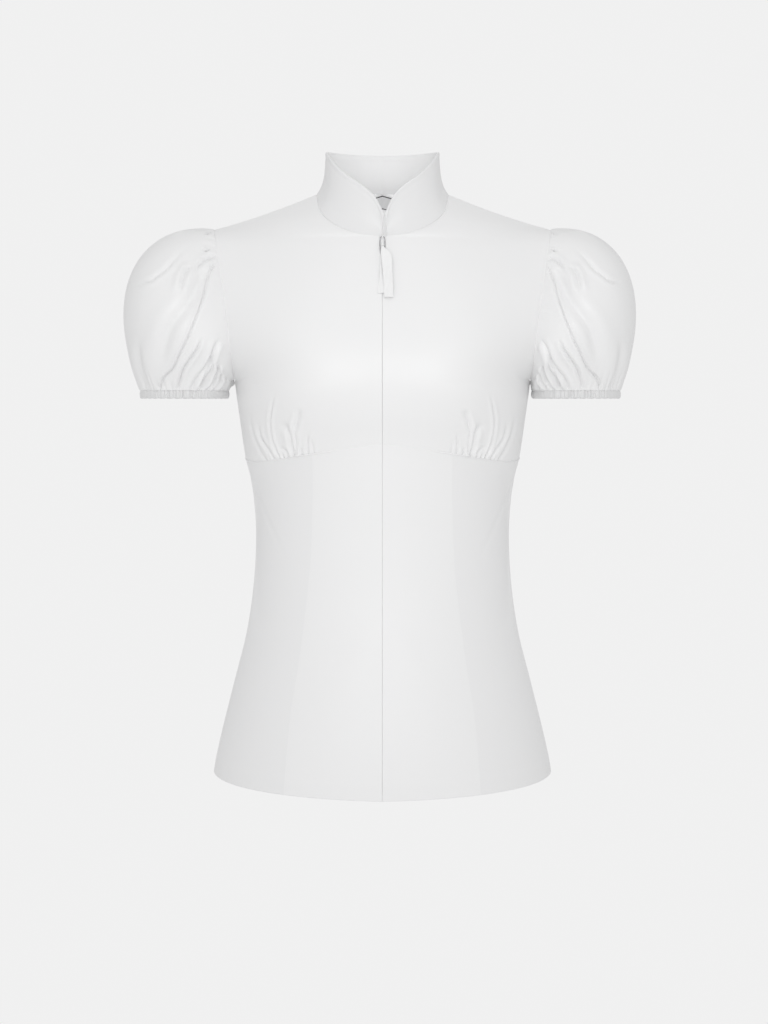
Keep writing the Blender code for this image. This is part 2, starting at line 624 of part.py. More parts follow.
def add_sleeve(side, finish, collection):
    """The puff sleeve, gathered at the shoulder and into its cuff."""
    corners = armhole_corners()

    def surface(turn, down):
        return sleeve_point(corners, side, turn, down)

    outer, inner = [], []
    for down in SLEEVE_ROWS:
        out_row, in_row = [], []
        for turn in spaced(0, 1, SLEEVE_COLUMNS)[:-1]:
            point = surface(turn, down)
            middle = (surface(turn, 0.5) + surface(turn + 0.5, 0.5)) / 2
            own = normal_of(surface, turn, min(max(down, 0.02), 0.98), point - middle)
            _, body = armhole(corners, turn)
            at_underarm = 1 - smooth(0.03, 0.14, abs(turn - 0.5))
            share = smooth(0, 0.10, down)
            normal = unit(unit(body + own * at_underarm) * (1 - share) + own * share)
            fades = smooth(0, 0.12, down) * (1 - smooth(0.93, 1, down))
            height = sleeve_wave(turn, down) - crease_depth(point) * fades
            out_row.append(point + height * normal)
            in_row.append(point + (height - CLOTH) * normal)
        outer.append(out_row)
        inner.append(in_row)
    add_grid(f"sleeve_{side}", outer, inner, finish, collection, side, ring=True)


def add_cuff(side, finish, collection):
    """The narrow elastic band that gathers the sleeve's end, with its fine ribs."""
    outer, inner = [], []
    for share, bulge in ((0, 0.0), (0.22, CUFF_BULGE), (0.78, CUFF_BULGE), (1, 0.0)):
        z = CUFF_TOP - SEAM_GAP - CUFF_HEIGHT * share
        out_row, in_row = [], []
        for i in range(CUFF_COLUMNS):
            rib = CUFF_RIB if i % 2 else -CUFF_RIB
            out_row.append(cuff_point(i / CUFF_COLUMNS, side, rib + bulge, z))
            in_row.append(cuff_point(i / CUFF_COLUMNS, side, -CUFF_CLOTH, z))
        outer.append(out_row)
        inner.append(in_row)
    add_grid(f"cuff_{side}", outer, inner, finish, collection, side, ring=True)


def neckline():
    """The neckline from centre front to centre back, with each place's share of the way."""
    places = [(COLLAR_EDGE[0].share, FRONT, 0)]
    places += [((a - FRONT_NECK) / (SHOULDER - FRONT_NECK) / 2, FRONT, a) for a in FRONT_NECK_ROWS]
    back = (BACK_NECK,) + BACK_NECK_ROWS[:-1]
    places += [(1 - (a - BACK_NECK) / (SHOULDER - BACK_NECK) / 2, BACK, a) for a in back[::-1]]
    first = FRONT_NECK + 2 * places[0][0] * (SHOULDER - FRONT_NECK)
    places[0] = (places[0][0], FRONT, first)
    return [(share, body_point(table, 0, along)) for share, table, along in places]


def add_collar(finish, collection):
    """The stand collar, high at the back, whose front edges sweep down to the zip."""
    outer, inner = [], []
    for share, seam in neckline():
        edge = read(COLLAR_EDGE, share)
        seam = seam + np.array([0, 0, SEAM_GAP])
        free = np.array([edge.x, edge.y, edge.z])
        level = unit(seam * np.array([1, 1, 0]))
        out_row, in_row = [], []
        for up in spaced(0, 1, COLLAR_ROWS):
            point = seam + (free - seam) * up + level * COLLAR_ROLL * math.sin(math.pi * up) ** 2
            out_row.append(point)
            in_row.append(point - COLLAR_CLOTH * level)
        outer.append(out_row)
        inner.append(in_row)
    outer = [[p * MIRROR for p in row] for row in outer] + outer[-2::-1]
    inner = [[p * MIRROR for p in row] for row in inner] + inner[-2::-1]
    add_grid("collar", outer, inner, finish, collection)


def add_lining_strip(name, half, alongs, gap, thickness, surface, normal_at, finish, collection):
    """A strip behind the middle of the front or the back, as wide as twice half."""
    outer, inner = [], []
    for along in alongs:
        out_row, in_row = [], []
        across = find_across(surface, half, along)
        for sign, share in ((-1, across), (0, 0), (1, across)):
            point = surface(share, along)
            normal = normal_at(share, along)
            if sign == 0:
                normal = unit(normal * np.array([0, 1, 1]))
            flip = MIRROR if sign < 0 else 1.0
            out_row.append((point - (CLOTH + gap) * normal) * flip)
            in_row.append((point - (CLOTH + gap + thickness) * normal) * flip)
        outer.append(out_row)
        inner.append(in_row)
    add_grid(name, outer, inner, finish, collection)


def add_zip_tape(finish, collection):
    """The zip's tape and closed chain, behind the edges of the fronts."""
    lower = spaced(HEM, UNDERBUST - HALF_GAP, LOWER_ROWS)
    upper = [a for a in FRONT_UPPER_ROWS if UNDERBUST < a < TAPE_TOP] + [TAPE_TOP]
    parts = (TAPE_HALF, lower + upper, TAPE_GAP, TAPE_CLOTH, front_surface, front_normal)
    add_lining_strip("zip_tape", *parts, finish, collection)


def add_label(finish, collection):
    """The small blank label at the middle of the back neck, inside."""
    parts = (LABEL_HALF, LABEL_ROWS, LABEL_GAP, LABEL_CLOTH, back_surface, back_normal)
    add_lining_strip("label", *parts, finish, collection)


def slope_at_hinge():
    """The front's surface at the hinge, and the directions out from it and down it."""
    point, out = centre_front(HINGE_Z)
    return point, out, unit(np.array([0.0, -abs(out[2]), -abs(out[1])]))


def add_tube(mesh, path, across, radius, closed):
    """A round wire along a path in the plane square to across."""
    rings = []
    last = len(path) - 1
    for i, point in enumerate(path):
        behind = path[i - 1] if closed or i else path[0]
        ahead = path[(i + 1) % len(path)] if closed or i < last else path[last]
        side = unit(np.cross(ahead - behind, across))
        ring = []
        for k in range(WIRE_SIDES):
            angle = 2 * math.pi * k / WIRE_SIDES
            offset = math.cos(angle) * side + math.sin(angle) * across
            ring.append(mesh.verts.new(Vector(point + radius * offset)))
        rings.append(ring)
    pairs = list(zip(rings, rings[1:]))
    if closed:
        pairs.append((rings[-1], rings[0]))
    else:
        mesh.faces.new(rings[0])
        mesh.faces.new(rings[-1])
    for a, b in pairs:
        for k in range(WIRE_SIDES):
            j = (k + 1) % WIRE_SIDES
            mesh.faces.new((a[k], a[j], b[j], b[k]))


def add_slider(finish, collection, cutters):
    """The slider's plate in the parting of the fronts, with the crown that holds the loop."""
    origin, out, down = slope_at_hinge()
    right = np.array([1.0, 0.0, 0.0])
    mesh = bmesh.new()
    ends = []
    for lift in (PLATE_BACK, PLATE_FRONT):
        outline = [(p.half_width, p.down) for p in PLATE] + [(-p.half_width, p.down) for p in PLATE[::-1]]
        corners = [origin + x * right + d * down + lift * out for x, d in outline]
        ends.append([mesh.verts.new(Vector(corner)) for corner in corners])
    count = len(ends[0])
    for end in ends:
        mesh.faces.new(end)
    for i in range(count):
        j = (i + 1) % count
        mesh.faces.new((ends[0][i], ends[0][j], ends[1][j], ends[1][i]))
    slider = add_object("zip_slider", mesh, finish, collection)

    mesh = bmesh.new()
    path = []
    for i in range(CROWN_STEPS + 1):
        angle = math.pi * (i / CROWN_STEPS)
        along = CROWN_RADIUS * math.cos(angle)
        rise = max(CROWN_RADIUS * math.sin(angle), 0.0) + PLATE_FRONT
        path.append(origin - along * down + rise * out)
    sunk = CROWN_WIRE * out
    path = [path[0] - sunk] + path + [path[-1] - sunk]
    add_tube(mesh, path, right, CROWN_WIRE, closed=False)
    crown = add_object("crown", mesh, finish, cutters)
    crown.hide_render = True
    crown.display_type = "WIRE"
    union = slider.modifiers.new("crown", "BOOLEAN")
    union.operation = "UNION"
    union.solver = "EXACT"
    union.object = crown


def add_loop(finish, collection):
    """The long wire loop that hangs from the slider's crown."""
    origin, out, down = slope_at_hinge()
    right = np.array([1.0, 0.0, 0.0])
    centre = origin + HINGE_LIFT * out
    round_end = LOOP_HALF_WIDTH * LOOP_ROUNDING
    path = []
    for sign_x, sign_d, start in ((1, 0, 270), (1, 1, 0), (-1, 1, 90), (-1, 0, 180)):
        middle_x = sign_x * (LOOP_HALF_WIDTH - round_end)
        middle_d = LOOP_LENGTH - round_end if sign_d else round_end
        for k in range(LOOP_STEPS + 1):
            angle = math.radians(start + 90 * k / LOOP_STEPS)
            x = middle_x + round_end * math.cos(angle)
            d = middle_d + round_end * math.sin(angle)
            path.append(centre + x * right + d * down)
    mesh = bmesh.new()
    add_tube(mesh, path, out, LOOP_WIRE, closed=True)
    add_object("pull_loop", mesh, finish, collection)


def add_ribbon(finish, collection):
    """The satin ribbon drawn through the loop, with its two tails down the front."""
    ribs = []
    for rib in RIBBON_BACK:
        point, out = centre_front(HINGE_Z - rib.down)
        ribs.append((point + rib.lift * out, out, rib))
    origin, out, down = slope_at_hinge()
    bar = origin + HINGE_LIFT * out + LOOP_LENGTH * down
    radius = LOOP_WIRE + SEAM_GAP + RIBBON_CLOTH / 2
    for k in range(RIBBON_STEPS + 1):
        angle = math.pi * k / RIBBON_STEPS
        facing = -math.cos(angle) * out - math.sin(angle) * down
        ribs.append((bar + radius * facing, -facing, RibbonRib(0.0, 0.0, RIBBON_PINCH, 0.0)))
    for rib in RIBBON_FRONT:
        point, out = centre_front(HINGE_Z - rib.down)
        ribs.append((point + rib.lift * out, -out, rib))
    outer, inner = [], []
    for point, normal, rib in ribs:
        out_row, in_row = [], []
        for share in (-1.0, -0.33, 0.33, 1.0):
            place = point + np.array([rib.middle + share * rib.half_width, 0.0, 0.0])
            out_row.append(place + normal * RIBBON_CLOTH / 2)
            in_row.append(place - normal * RIBBON_CLOTH / 2)
        outer.append(out_row)
        inner.append(in_row)
    add_grid("pull_ribbon", outer, inner, finish, collection)


def main():
    clear_scene()
    collection = bpy.data.collections.new("satin_top")
    cutters = bpy.data.collections.new("cutters")
    bpy.context.scene.collection.children.link(collection)
    bpy.context.scene.collection.children.link(cutters)
    satin = material("white satin", (0.86, 0.86, 0.86), 0.32)
    for side in ("right", "left"):
        add_front_upper(side, satin, collection)
        add_front_lower(side, True, satin, collection)
        add_front_lower(side, False, satin, collection)
        add_sleeve(side, satin, collection)
        add_cuff(side, satin, collection)
    add_back(satin, collection)
    add_collar(satin, collection)
    add_zip_tape(material("white zip tape", (0.82, 0.82, 0.82), 0.7), collection)
    metal = material("bright metal", (0.78, 0.78, 0.79), 0.22, 1.0)
    add_slider(metal, collection, cutters)
    add_loop(metal, collection)
    add_ribbon(material("white satin ribbon", (0.88, 0.88, 0.88), 0.3), collection)
    add_label(material("white label", (0.85, 0.85, 0.85), 0.6), collection)


main()
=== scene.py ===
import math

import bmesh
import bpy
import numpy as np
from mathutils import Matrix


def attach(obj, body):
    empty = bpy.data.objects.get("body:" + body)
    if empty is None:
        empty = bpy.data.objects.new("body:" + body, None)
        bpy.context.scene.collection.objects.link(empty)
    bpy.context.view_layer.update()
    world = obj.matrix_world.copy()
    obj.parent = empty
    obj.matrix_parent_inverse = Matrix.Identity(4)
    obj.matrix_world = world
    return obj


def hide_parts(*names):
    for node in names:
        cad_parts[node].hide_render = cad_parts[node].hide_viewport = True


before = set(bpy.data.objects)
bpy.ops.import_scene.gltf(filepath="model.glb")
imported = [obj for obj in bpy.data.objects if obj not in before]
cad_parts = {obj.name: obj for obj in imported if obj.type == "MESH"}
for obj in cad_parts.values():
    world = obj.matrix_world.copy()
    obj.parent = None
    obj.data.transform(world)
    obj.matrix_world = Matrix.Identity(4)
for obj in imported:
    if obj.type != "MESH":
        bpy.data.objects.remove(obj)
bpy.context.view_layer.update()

# The looks of a short-sleeved white satin top, filled out as it is when worn. Lengths are in
# metres, +Z is up and the front faces -Y. Left and right are the wearer's, so left is at +X.
# Each panel is a thin shell on one of three surfaces: the front, the back and the sleeve. The two
# surfaces of the body are read from sections, one at each distance up the side seam from the hem.

print("frame loaded:", len(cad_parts), "nodes")

right = np.array([1.0, 0.0, 0.0])  # the way to +X
# Panels are worked out for the left side, and multiplied by one of these.
asIs = np.ones(3)
mirrorX = np.array([-1.0, 1.0, 1.0])
sides = {"Left": asIs, "Right": mirrorX}

# Distances up the side seam from the hem, and on round the edge of the armhole.
seamLines = {
    "underBust": 0.316,
    "underArm": 0.380,
    "frontNeck": 0.546,
    "backNeck": 0.566,
    "shoulder": 0.582,
}

# One row for each section: the distance up, the place at the centre (x y z), the place at the side
# seam or armhole (x y z), the length and heading of the curve's handle at the centre and at the
# side, and how far each handle is lifted.
frontSections = [
    (0.000, 0, -0.1240, -0.581, 0.1695, 0.006, -0.574, 0.104, 0, 0.070, 90, 0, 0),
    (0.042, 0, -0.1180, -0.537, 0.1600, 0.006, -0.532, 0.098, 0, 0.066, 90, 0, 0),
    (0.090, 0, -0.1105, -0.488, 0.1480, 0.006, -0.484, 0.090, 0, 0.062, 90, 0, 0),
    (0.138, 0, -0.1035, -0.439, 0.1360, 0.006, -0.436, 0.082, 0, 0.058, 90, 0, 0),
    (0.186, 0, -0.0975, -0.390, 0.1290, 0.006, -0.388, 0.078, 0, 0.055, 90, 0, 0),
    (0.234, 0, -0.0955, -0.341, 0.1265, 0.006, -0.340, 0.076, 0, 0.054, 90, 0, 0),
    (0.270, 0, -0.0965, -0.303, 0.1285, 0.006, -0.304, 0.077, 0, 0.054, 90, 0, -0.004),
    (0.294, 0, -0.0985, -0.275, 0.1320, 0.006, -0.280, 0.079, 0, 0.055, 90, -0.001, -0.01),
    (0.316, 0, -0.1015, -0.246, 0.1370, 0.006, -0.260, 0.082, 0, 0.056, 90, -0.003, -0.017),
    (0.348, 0, -0.1085, -0.216, 0.1425, 0.006, -0.224, 0.086, 0, 0.058, 90, -0.002, -0.008),
    (0.380, 0, -0.1120, -0.187, 0.1475, 0.004, -0.189, 0.088, 0, 0.054, 86, 0, -0.002),
    (0.402, 0, -0.1110, -0.167, 0.1474, -0.016, -0.182, 0.086, 0, 0.044, 70, 0, 0),
    (0.426, 0, -0.1060, -0.147, 0.1487, -0.037, -0.165, 0.082, 0, 0.040, 54, 0, 0),
    (0.452, 0, -0.0985, -0.126, 0.1507, -0.048, -0.142, 0.078, 0, 0.040, 42, 0, 0),
    (0.480, 0, -0.0890, -0.103, 0.1540, -0.049, -0.115, 0.074, 0, 0.040, 32, 0, 0),
    (0.506, 0, -0.0785, -0.081, 0.1580, -0.043, -0.089, 0.070, 0, 0.040, 25, 0, 0),
    (0.528, 0, -0.0685, -0.062, 0.1620, -0.033, -0.066, 0.066, 0, 0.040, 18, 0, 0),
    (0.546, 0, -0.0595, -0.046, 0.1645, -0.024, -0.050, 0.062, 0, 0.040, 13, 0, 0),
    (0.558, 0.024, -0.0560, -0.0415, 0.166, -0.0165, -0.042, 0.048, 4, 0.040, 9, 0.001, 0.001),
    (0.566, 0.0455, -0.0455, -0.0325, 0.167, -0.009, -0.0375, 0.040, 6, 0.038, 6, 0.001, 0.001),
    (0.575, 0.061, -0.0280, -0.0185, 0.168, -0.001, -0.0345, 0.035, 4, 0.036, 3, -0.001, -0.001),
    (0.582, 0.0665, 0.001, 0.0015, 0.1685, 0.006, -0.033, 0.034, 1, 0.034, 1, -0.003, -0.003),
]
backSections = [
    (0.000, 0, 0.1140, -0.576, 0.1695, 0.006, -0.574, 0.104, 0, 0.062, -90, 0, 0),
    (0.042, 0, 0.1090, -0.534, 0.1600, 0.006, -0.532, 0.098, 0, 0.060, -90, 0, 0),
    (0.090, 0, 0.1010, -0.486, 0.1480, 0.006, -0.484, 0.090, 0, 0.056, -90, 0, 0),
    (0.138, 0, 0.0920, -0.437, 0.1360, 0.006, -0.436, 0.082, 0, 0.052, -90, 0, 0),
    (0.186, 0, 0.0840, -0.389, 0.1290, 0.006, -0.388, 0.078, 0, 0.048, -90, 0, 0),
    (0.234, 0, 0.0810, -0.341, 0.1265, 0.006, -0.340, 0.076, 0, 0.046, -90, 0, 0),
    (0.270, 0, 0.0830, -0.305, 0.1285, 0.006, -0.304, 0.077, 0, 0.047, -90, 0, 0),
    (0.294, 0, 0.0850, -0.281, 0.1320, 0.006, -0.280, 0.079, 0, 0.048, -90, 0, 0),
    (0.316, 0, 0.0880, -0.259, 0.1370, 0.006, -0.260, 0.082, 0, 0.050, -90, 0, 0),
    (0.348, 0, 0.0925, -0.227, 0.1425, 0.006, -0.224, 0.086, 0, 0.052, -90, 0, 0),
    (0.380, 0, 0.0970, -0.195, 0.1475, 0.004, -0.189, 0.088, 0, 0.050, -86, 0, 0),
    (0.402, 0, 0.0995, -0.175, 0.1480, 0.025, -0.181, 0.086, 0, 0.042, -68, 0, 0),
    (0.426, 0, 0.1015, -0.153, 0.1503, 0.044, -0.163, 0.082, 0, 0.038, -52, 0, 0),
    (0.452, 0, 0.1020, -0.128, 0.1540, 0.056, -0.138, 0.078, 0, 0.038, -40, 0, 0),
    (0.480, 0, 0.1000, -0.101, 0.1580, 0.0595, -0.110, 0.074, 0, 0.040, -32, 0, 0),
    (0.506, 0, 0.0955, -0.075, 0.1620, 0.055, -0.085, 0.070, 0, 0.040, -26, 0, 0),
    (0.528, 0, 0.0880, -0.050, 0.1650, 0.046, -0.065, 0.066, 0, 0.040, -20, 0, 0),
    (0.546, 0, 0.0780, -0.026, 0.1668, 0.036, -0.050, 0.062, 0, 0.040, -14, 0, 0),
    (0.558, 0, 0.0660, -0.0065, 0.1676, 0.028, -0.0425, 0.056, 0, 0.040, -10, 0, 0),
    (0.566, 0, 0.0555, 0.008, 0.1680, 0.021, -0.038, 0.050, -4, 0.040, -8, 0, 0),
    (0.570, 0.024, 0.0530, 0.008, 0.1682, 0.0165, -0.036, 0.042, -8, 0.038, -6, 0, 0),
    (0.574, 0.045, 0.0420, 0.0075, 0.1684, 0.0130, -0.0348, 0.038, -8, 0.036, -4, -0.001, -0.001),
    (0.578, 0.060, 0.0240, 0.0055, 0.1685, 0.0095, -0.0338, 0.036, -4, 0.034, -2, -0.003, -0.003),
    (0.582, 0.0665, 0.001, 0.0015, 0.1685, 0.006, -0.033, 0.034, 1, 0.034, 1, -0.003, -0.003),
]

bodyForm = {
    "bustX": 0.082,
    "bustZ": -0.186,
    "bustFullness": 0.0165,
    "bustAcross": 0.042,
    "bustUp": 0.060,
    "bustDown": 0.037,
    "sideFade": 0.70,  # from here across, the fullness fades to nothing at the side seam
    "armholeFade": 0.426,  # and up to this far along the armhole
    "zipEdge": 0.00006,  # half the slit between the two fronts
    "zipEdgeFade": 0.2,  # from here across, the front is where it would be without a slit
    "slitRows": [  # height, and half the slit's width there
        (-0.0760, 0.00006),
        (-0.0660, 0.0012),
        (-0.0600, 0.0026),
        (-0.0520, 0.0029),
        (-0.0450, 0.0026),
    ],
}
cloth = {
    "thick": 0.0008,
    "seamGap": 0.00005,  # between two pieces at their seam
    "turnedEdge": 0.0010,  # how wide the rounding of a folded edge is
    "turnedIn": 0.45,  # how much of the thickness each skin gives up at the edge
    "sewnSharper": 4.0,  # how much narrower it is where the edge is sewn to its neighbour
    "seamPull": 0.00030,  # how far the stitching draws the cloth in
    "seamPullWide": 0.0020,
    "sharpFrom": 50.0,  # degrees between two faces, above which their edge shows
}
creaseLook = {
    "fades": (0.0, 0.4),  # the shares of its length over which a crease fades in and out
    "opens": 0.3,  # how much wider it is at its far end
    "banks": (0.35, 0.35),  # how high the cloth stands beside it, as shares of its depth
    "bankOut": 2.1,  # where the banks stand and how wide they are, in widths of the crease
    "bankWide": 1.5,
    "reach": 7,  # further away than this many widths, a crease does nothing
    "crispUnder": 0.0025,  # narrower creases have a crisp bottom
    "crispPower": 1.3,
    "softPower": 2.0,
}
halfGap = cloth["seamGap"] / 2
tinyStep = 0.0004  # for directions worked out from two points close by


def smoothStep(low, high, value):
    t = np.clip((value - low) / (high - low), 0.0, 1.0)
    return t * t * (3 - 2 * t)


def unit(vectors):
    return vectors / np.linalg.norm(vectors, axis=-1, keepdims=True)


def readRows(rows, keys):
    # The rows of a table at the keys, on smooth curves through the rows.
    rows = np.asarray(rows, float)
    keys = np.asarray(keys, float)
    last = len(rows) - 1
    i = np.clip(np.searchsorted(rows[:, 0], keys, side="right") - 1, 0, last - 1)
    before, a, b, after = (rows[np.clip(i + k, 0, last)] for k in (-1, 0, 1, 2))
    span = (b - a)[..., :1]
    slopeA = (b - before) / (b - before)[..., :1]
    slopeB = (after - a) / (after - a)[..., :1]
    t = (keys - a[..., 0])[..., None] / span
    rise = (2 * t**3 - 3 * t**2 + 1) * a + (t**3 - 2 * t**2 + t) * span * slopeA
    return rise + (3 * t**2 - 2 * t**3) * b + (t**3 - t**2) * span * slopeB


def curve(a, b, c, d, t):
    s = 1 - t
    return s**3 * a + 3 * s**2 * t * b + 3 * s * t**2 * c + t**3 * d


def bodySurface(sections, across, along):
    # Points of the front or back, from the centre (across 0) to the side or armhole (across 1).
    across, along = np.broadcast_arrays(np.asarray(across, float), np.asarray(along, float))
    row = readRows(sections, along)
    start = np.stack([np.maximum(row[..., 1], 0), row[..., 2], row[..., 3]], -1)
    # The front and the back share the line of the side seam.
    other = readRows(backSections if sections is frontSections else frontSections, along)
    shared = (row[..., 4:7] + other[..., 4:7]) / 2
    end = np.where((along < seamLines["underArm"])[..., None], shared, row[..., 4:7])
    up = np.array([0.0, 0.0, 1.0])
    third = (end[..., 2:] - start[..., 2:]) / 3 * up
    turnC, turnO = np.radians(row[..., 8]), np.radians(row[..., 10])
    flat = np.zeros_like(turnC)
    leave = row[..., 7:8] * np.stack([np.cos(turnC), np.sin(turnC), flat], -1)
    arrive = row[..., 9:10] * np.stack([np.cos(turnO), np.sin(turnO), flat], -1)
    handleA = start + leave + third + row[..., 11:12] * up
    handleB = end - arrive - third + row[..., 12:13] * up
    points = curve(start, handleA, handleB, end, across[..., None])
    if sections is frontSections:
        above = points[..., 2] > bodyForm["bustZ"]
        spread = np.where(above, bodyForm["bustUp"], bodyForm["bustDown"])
        off = ((points[..., 0] - bodyForm["bustX"]) / bodyForm["bustAcross"]) ** 2
        off += ((points[..., 2] - bodyForm["bustZ"]) / spread) ** 2
        fade = smoothStep(bodyForm["sideFade"], 1, across)
        fade = fade * (1 - smoothStep(seamLines["underArm"], bodyForm["armholeFade"], along))
        points[..., 1] -= bodyForm["bustFullness"] * np.exp(-off / 2) * (1 - fade)
    return points


def frontWithSlit(across, along):
    # The front, with its centre edge drawn back from the zip.
    points = bodySurface(frontSections, across, along)
    centre = bodySurface(frontSections, np.zeros_like(np.asarray(across, float)), along)
    slit = np.array(bodyForm["slitRows"])
    opened = readRows(slit, np.clip(centre[..., 2], slit[0, 0], slit[-1, 0]))[..., 1]
    edge = np.maximum(opened, bodyForm["zipEdge"])
    share = np.maximum(0.0, 1 - np.asarray(across, float) / bodyForm["zipEdgeFade"])
    points[..., 0] += np.maximum(0.0, edge - centre[..., 0]) * share
    return points


def surfaceNormals(sections, across, along):
    # The outward normals of the front or back, worked out from points close by.
    across = np.maximum(across, tinyStep)
    outer, inner = (bodySurface(sections, across + step, along) for step in (tinyStep, -tinyStep))
    upper, lower = (bodySurface(sections, across, along + step) for step in (tinyStep, -tinyStep))
    normals = unit(np.cross(outer - inner, upper - lower))
    outward = np.array([0.4, -1.0 if sections is frontSections else 1.0, 0.5])
    return normals * np.sign(normals @ outward)[..., None]


def runLengths(points, axis):
    # How far each point of a grid is, along its row or column, from the first one.
    steps = np.linalg.norm(np.diff(points, axis=axis), axis=-1)
    zero = np.zeros_like(np.take(points[..., 0], [0], axis=axis))
    return np.concatenate([zero, np.cumsum(steps, axis=axis)], axis=axis)


def stations(length, pitch, fineStart=True, fineEnd=True):
    # Distances along an edge, close together beside a sewn or folded end.
    fine = np.array([0, 0.0001, 0.00025, 0.00045, 0.0007, 0.001, 0.0014, 0.002])
    start = fine if fineStart else np.array([0.0])
    end = length - fine[::-1] if fineEnd else np.array([length])
    count = max(2, int(round((end[0] - start[-1]) / pitch)))
    middle = np.linspace(start[-1], end[0], count + 1)[1:-1]
    return np.concatenate([start, middle, end])


def denser(low, high, pitches):
    # Distances from low to high, where pitches gives the spacing at some places between them.
    places = [low]
    while places[-1] < high:
        places.append(places[-1] + np.interp(places[-1], *zip(*pitches)))
    places = np.array(places)
    return low + (places - low) * (high - low) / (places[-1] - low)


def gridFaces(rows, columns, ring=False):
    # The faces between the points of a grid. A ring's last column joins its first.
    lastColumn = columns if ring else columns - 1
    i, j = np.meshgrid(np.arange(rows - 1), np.arange(lastColumn), indexing="ij")
    k = (j + 1) % columns
    corners = [i * columns + j, i * columns + k, (i + 1) * columns + k, (i + 1) * columns + j]
    return np.stack([c.ravel() for c in corners], 1)


def gridUv(points, ring=False):
    # Each face's corners in metres across and along the cloth, so that the weave keeps its size.
    if ring:
        points = np.concatenate([points, points[:, :1]], 1)
    u = runLengths(points, 1)
    v = runLengths(points, 0)
    u = u - u[:, u.shape[1] // 2 : u.shape[1] // 2 + 1]
    grid = np.stack([u, np.broadcast_to(v.mean(1, keepdims=True), u.shape)], -1)
    faces = gridFaces(*u.shape)
    return grid.reshape(-1, 2)[faces]


def closedIn(fromEdge, thick):
    # How far the two skins of the cloth close in on each other near an edge.
    share = np.clip(1 - fromEdge / cloth["turnedEdge"], 0.0, 1.0)
    return thick * cloth["turnedIn"] * (1 - np.sqrt(1 - share**2))


def makeMesh(name, vertices, faces, finishes, uv=None, finishOf=None):
    # A piece from its points and faces. finishOf gives each face's place in finishes.
    data = bpy.data.meshes.new(name)
    data.from_pydata(vertices.tolist(), [], faces.tolist() if hasattr(faces, "tolist") else faces)
    for finish in finishes:
        data.materials.append(finish)
    if finishOf is not None:
        data.polygons.foreach_set("material_index", np.asarray(finishOf, np.int32))
    if uv is not None:
        layer = data.uv_layers.new(name="clothMetres")
        layer.data.foreach_set("uv", np.asarray(uv, np.float32).ravel())
    data.shade_smooth()
    data.set_sharp_from_angle(angle=math.radians(cloth["sharpFrom"]))
    data.update()
    piece = bpy.data.objects.new(name, data)
    bpy.context.scene.collection.objects.link(piece)
    return piece


def makeShell(name, outer, inner, faces, uv, finishes):
    # A closed wall between two skins with the same faces, joined round their open edges.
    count = len(outer)
    edges = np.concatenate([faces[:, [k, (k + 1) % 4]] for k in range(4)])
    _, first, uses = np.unique(np.sort(edges, 1), axis=0, return_index=True, return_counts=True)
    openEdges = first[uses == 1]
    rim = edges[openEdges]
    rimUv = uv[openEdges % len(faces), openEdges // len(faces)]
    rimFaces = np.stack([rim[:, 1], rim[:, 0], rim[:, 0] + count, rim[:, 1] + count], 1)
    allFaces = np.concatenate([faces, faces[:, ::-1] + count, rimFaces])
    allUv = np.concatenate([uv, uv[:, ::-1], np.repeat(rimUv[:, None], 4, 1)])
    vertices = np.concatenate([outer, inner])
    a, b, c, d = (vertices[allFaces[:, k]] for k in range(4))
    volume = (a * np.cross(b, c)).sum() + (a * np.cross(c, d)).sum()
    if volume < 0:
        allFaces, allUv = allFaces[:, ::-1], allUv[:, ::-1]
    finishOf = np.repeat([0, 1, 0], [len(faces), len(faces), len(rimFaces)])
    return makeMesh(name, vertices, allFaces, finishes, allUv, finishOf)


def makePanel(name, points, normals, lift, fromEdge, side, finishes, ring=False, thick=None):
    # A panel of thin cloth on a grid of points. lift moves it out, fromEdge rounds its edges.
    thick = cloth["thick"] if thick is None else thick
    close = closedIn(fromEdge, thick)
    outer = (points + (lift - close)[..., None] * normals) * side
    inner = (points + (lift - thick + close)[..., None] * normals) * side
    skins = outer.reshape(-1, 3), inner.reshape(-1, 3)
    faces = gridFaces(points.shape[0], points.shape[1], ring)
    return makeShell(name, *skins, faces, gridUv(points, ring), finishes)


def sewn(fromSeam):
    # A sewn edge is rounded less than a free one.
    return fromSeam * cloth["sewnSharper"] + 0.0001  # the least keeps the two skins apart


def seamPull(fromSeam):
    # How far the cloth is drawn in beside a seam.
    return -cloth["seamPull"] * np.exp(-((fromSeam / cloth["seamPullWide"]) ** 2))


def throughPoints(places, parts=5):
    # A smooth line through a few places.
    places = np.array(places, float)
    keys = np.arange(len(places), dtype=float)
    table = np.concatenate([keys[:, None], places], 1)
    last = len(places) - 1
    return readRows(table, np.linspace(0, last, last * parts + 1))[:, 1:]


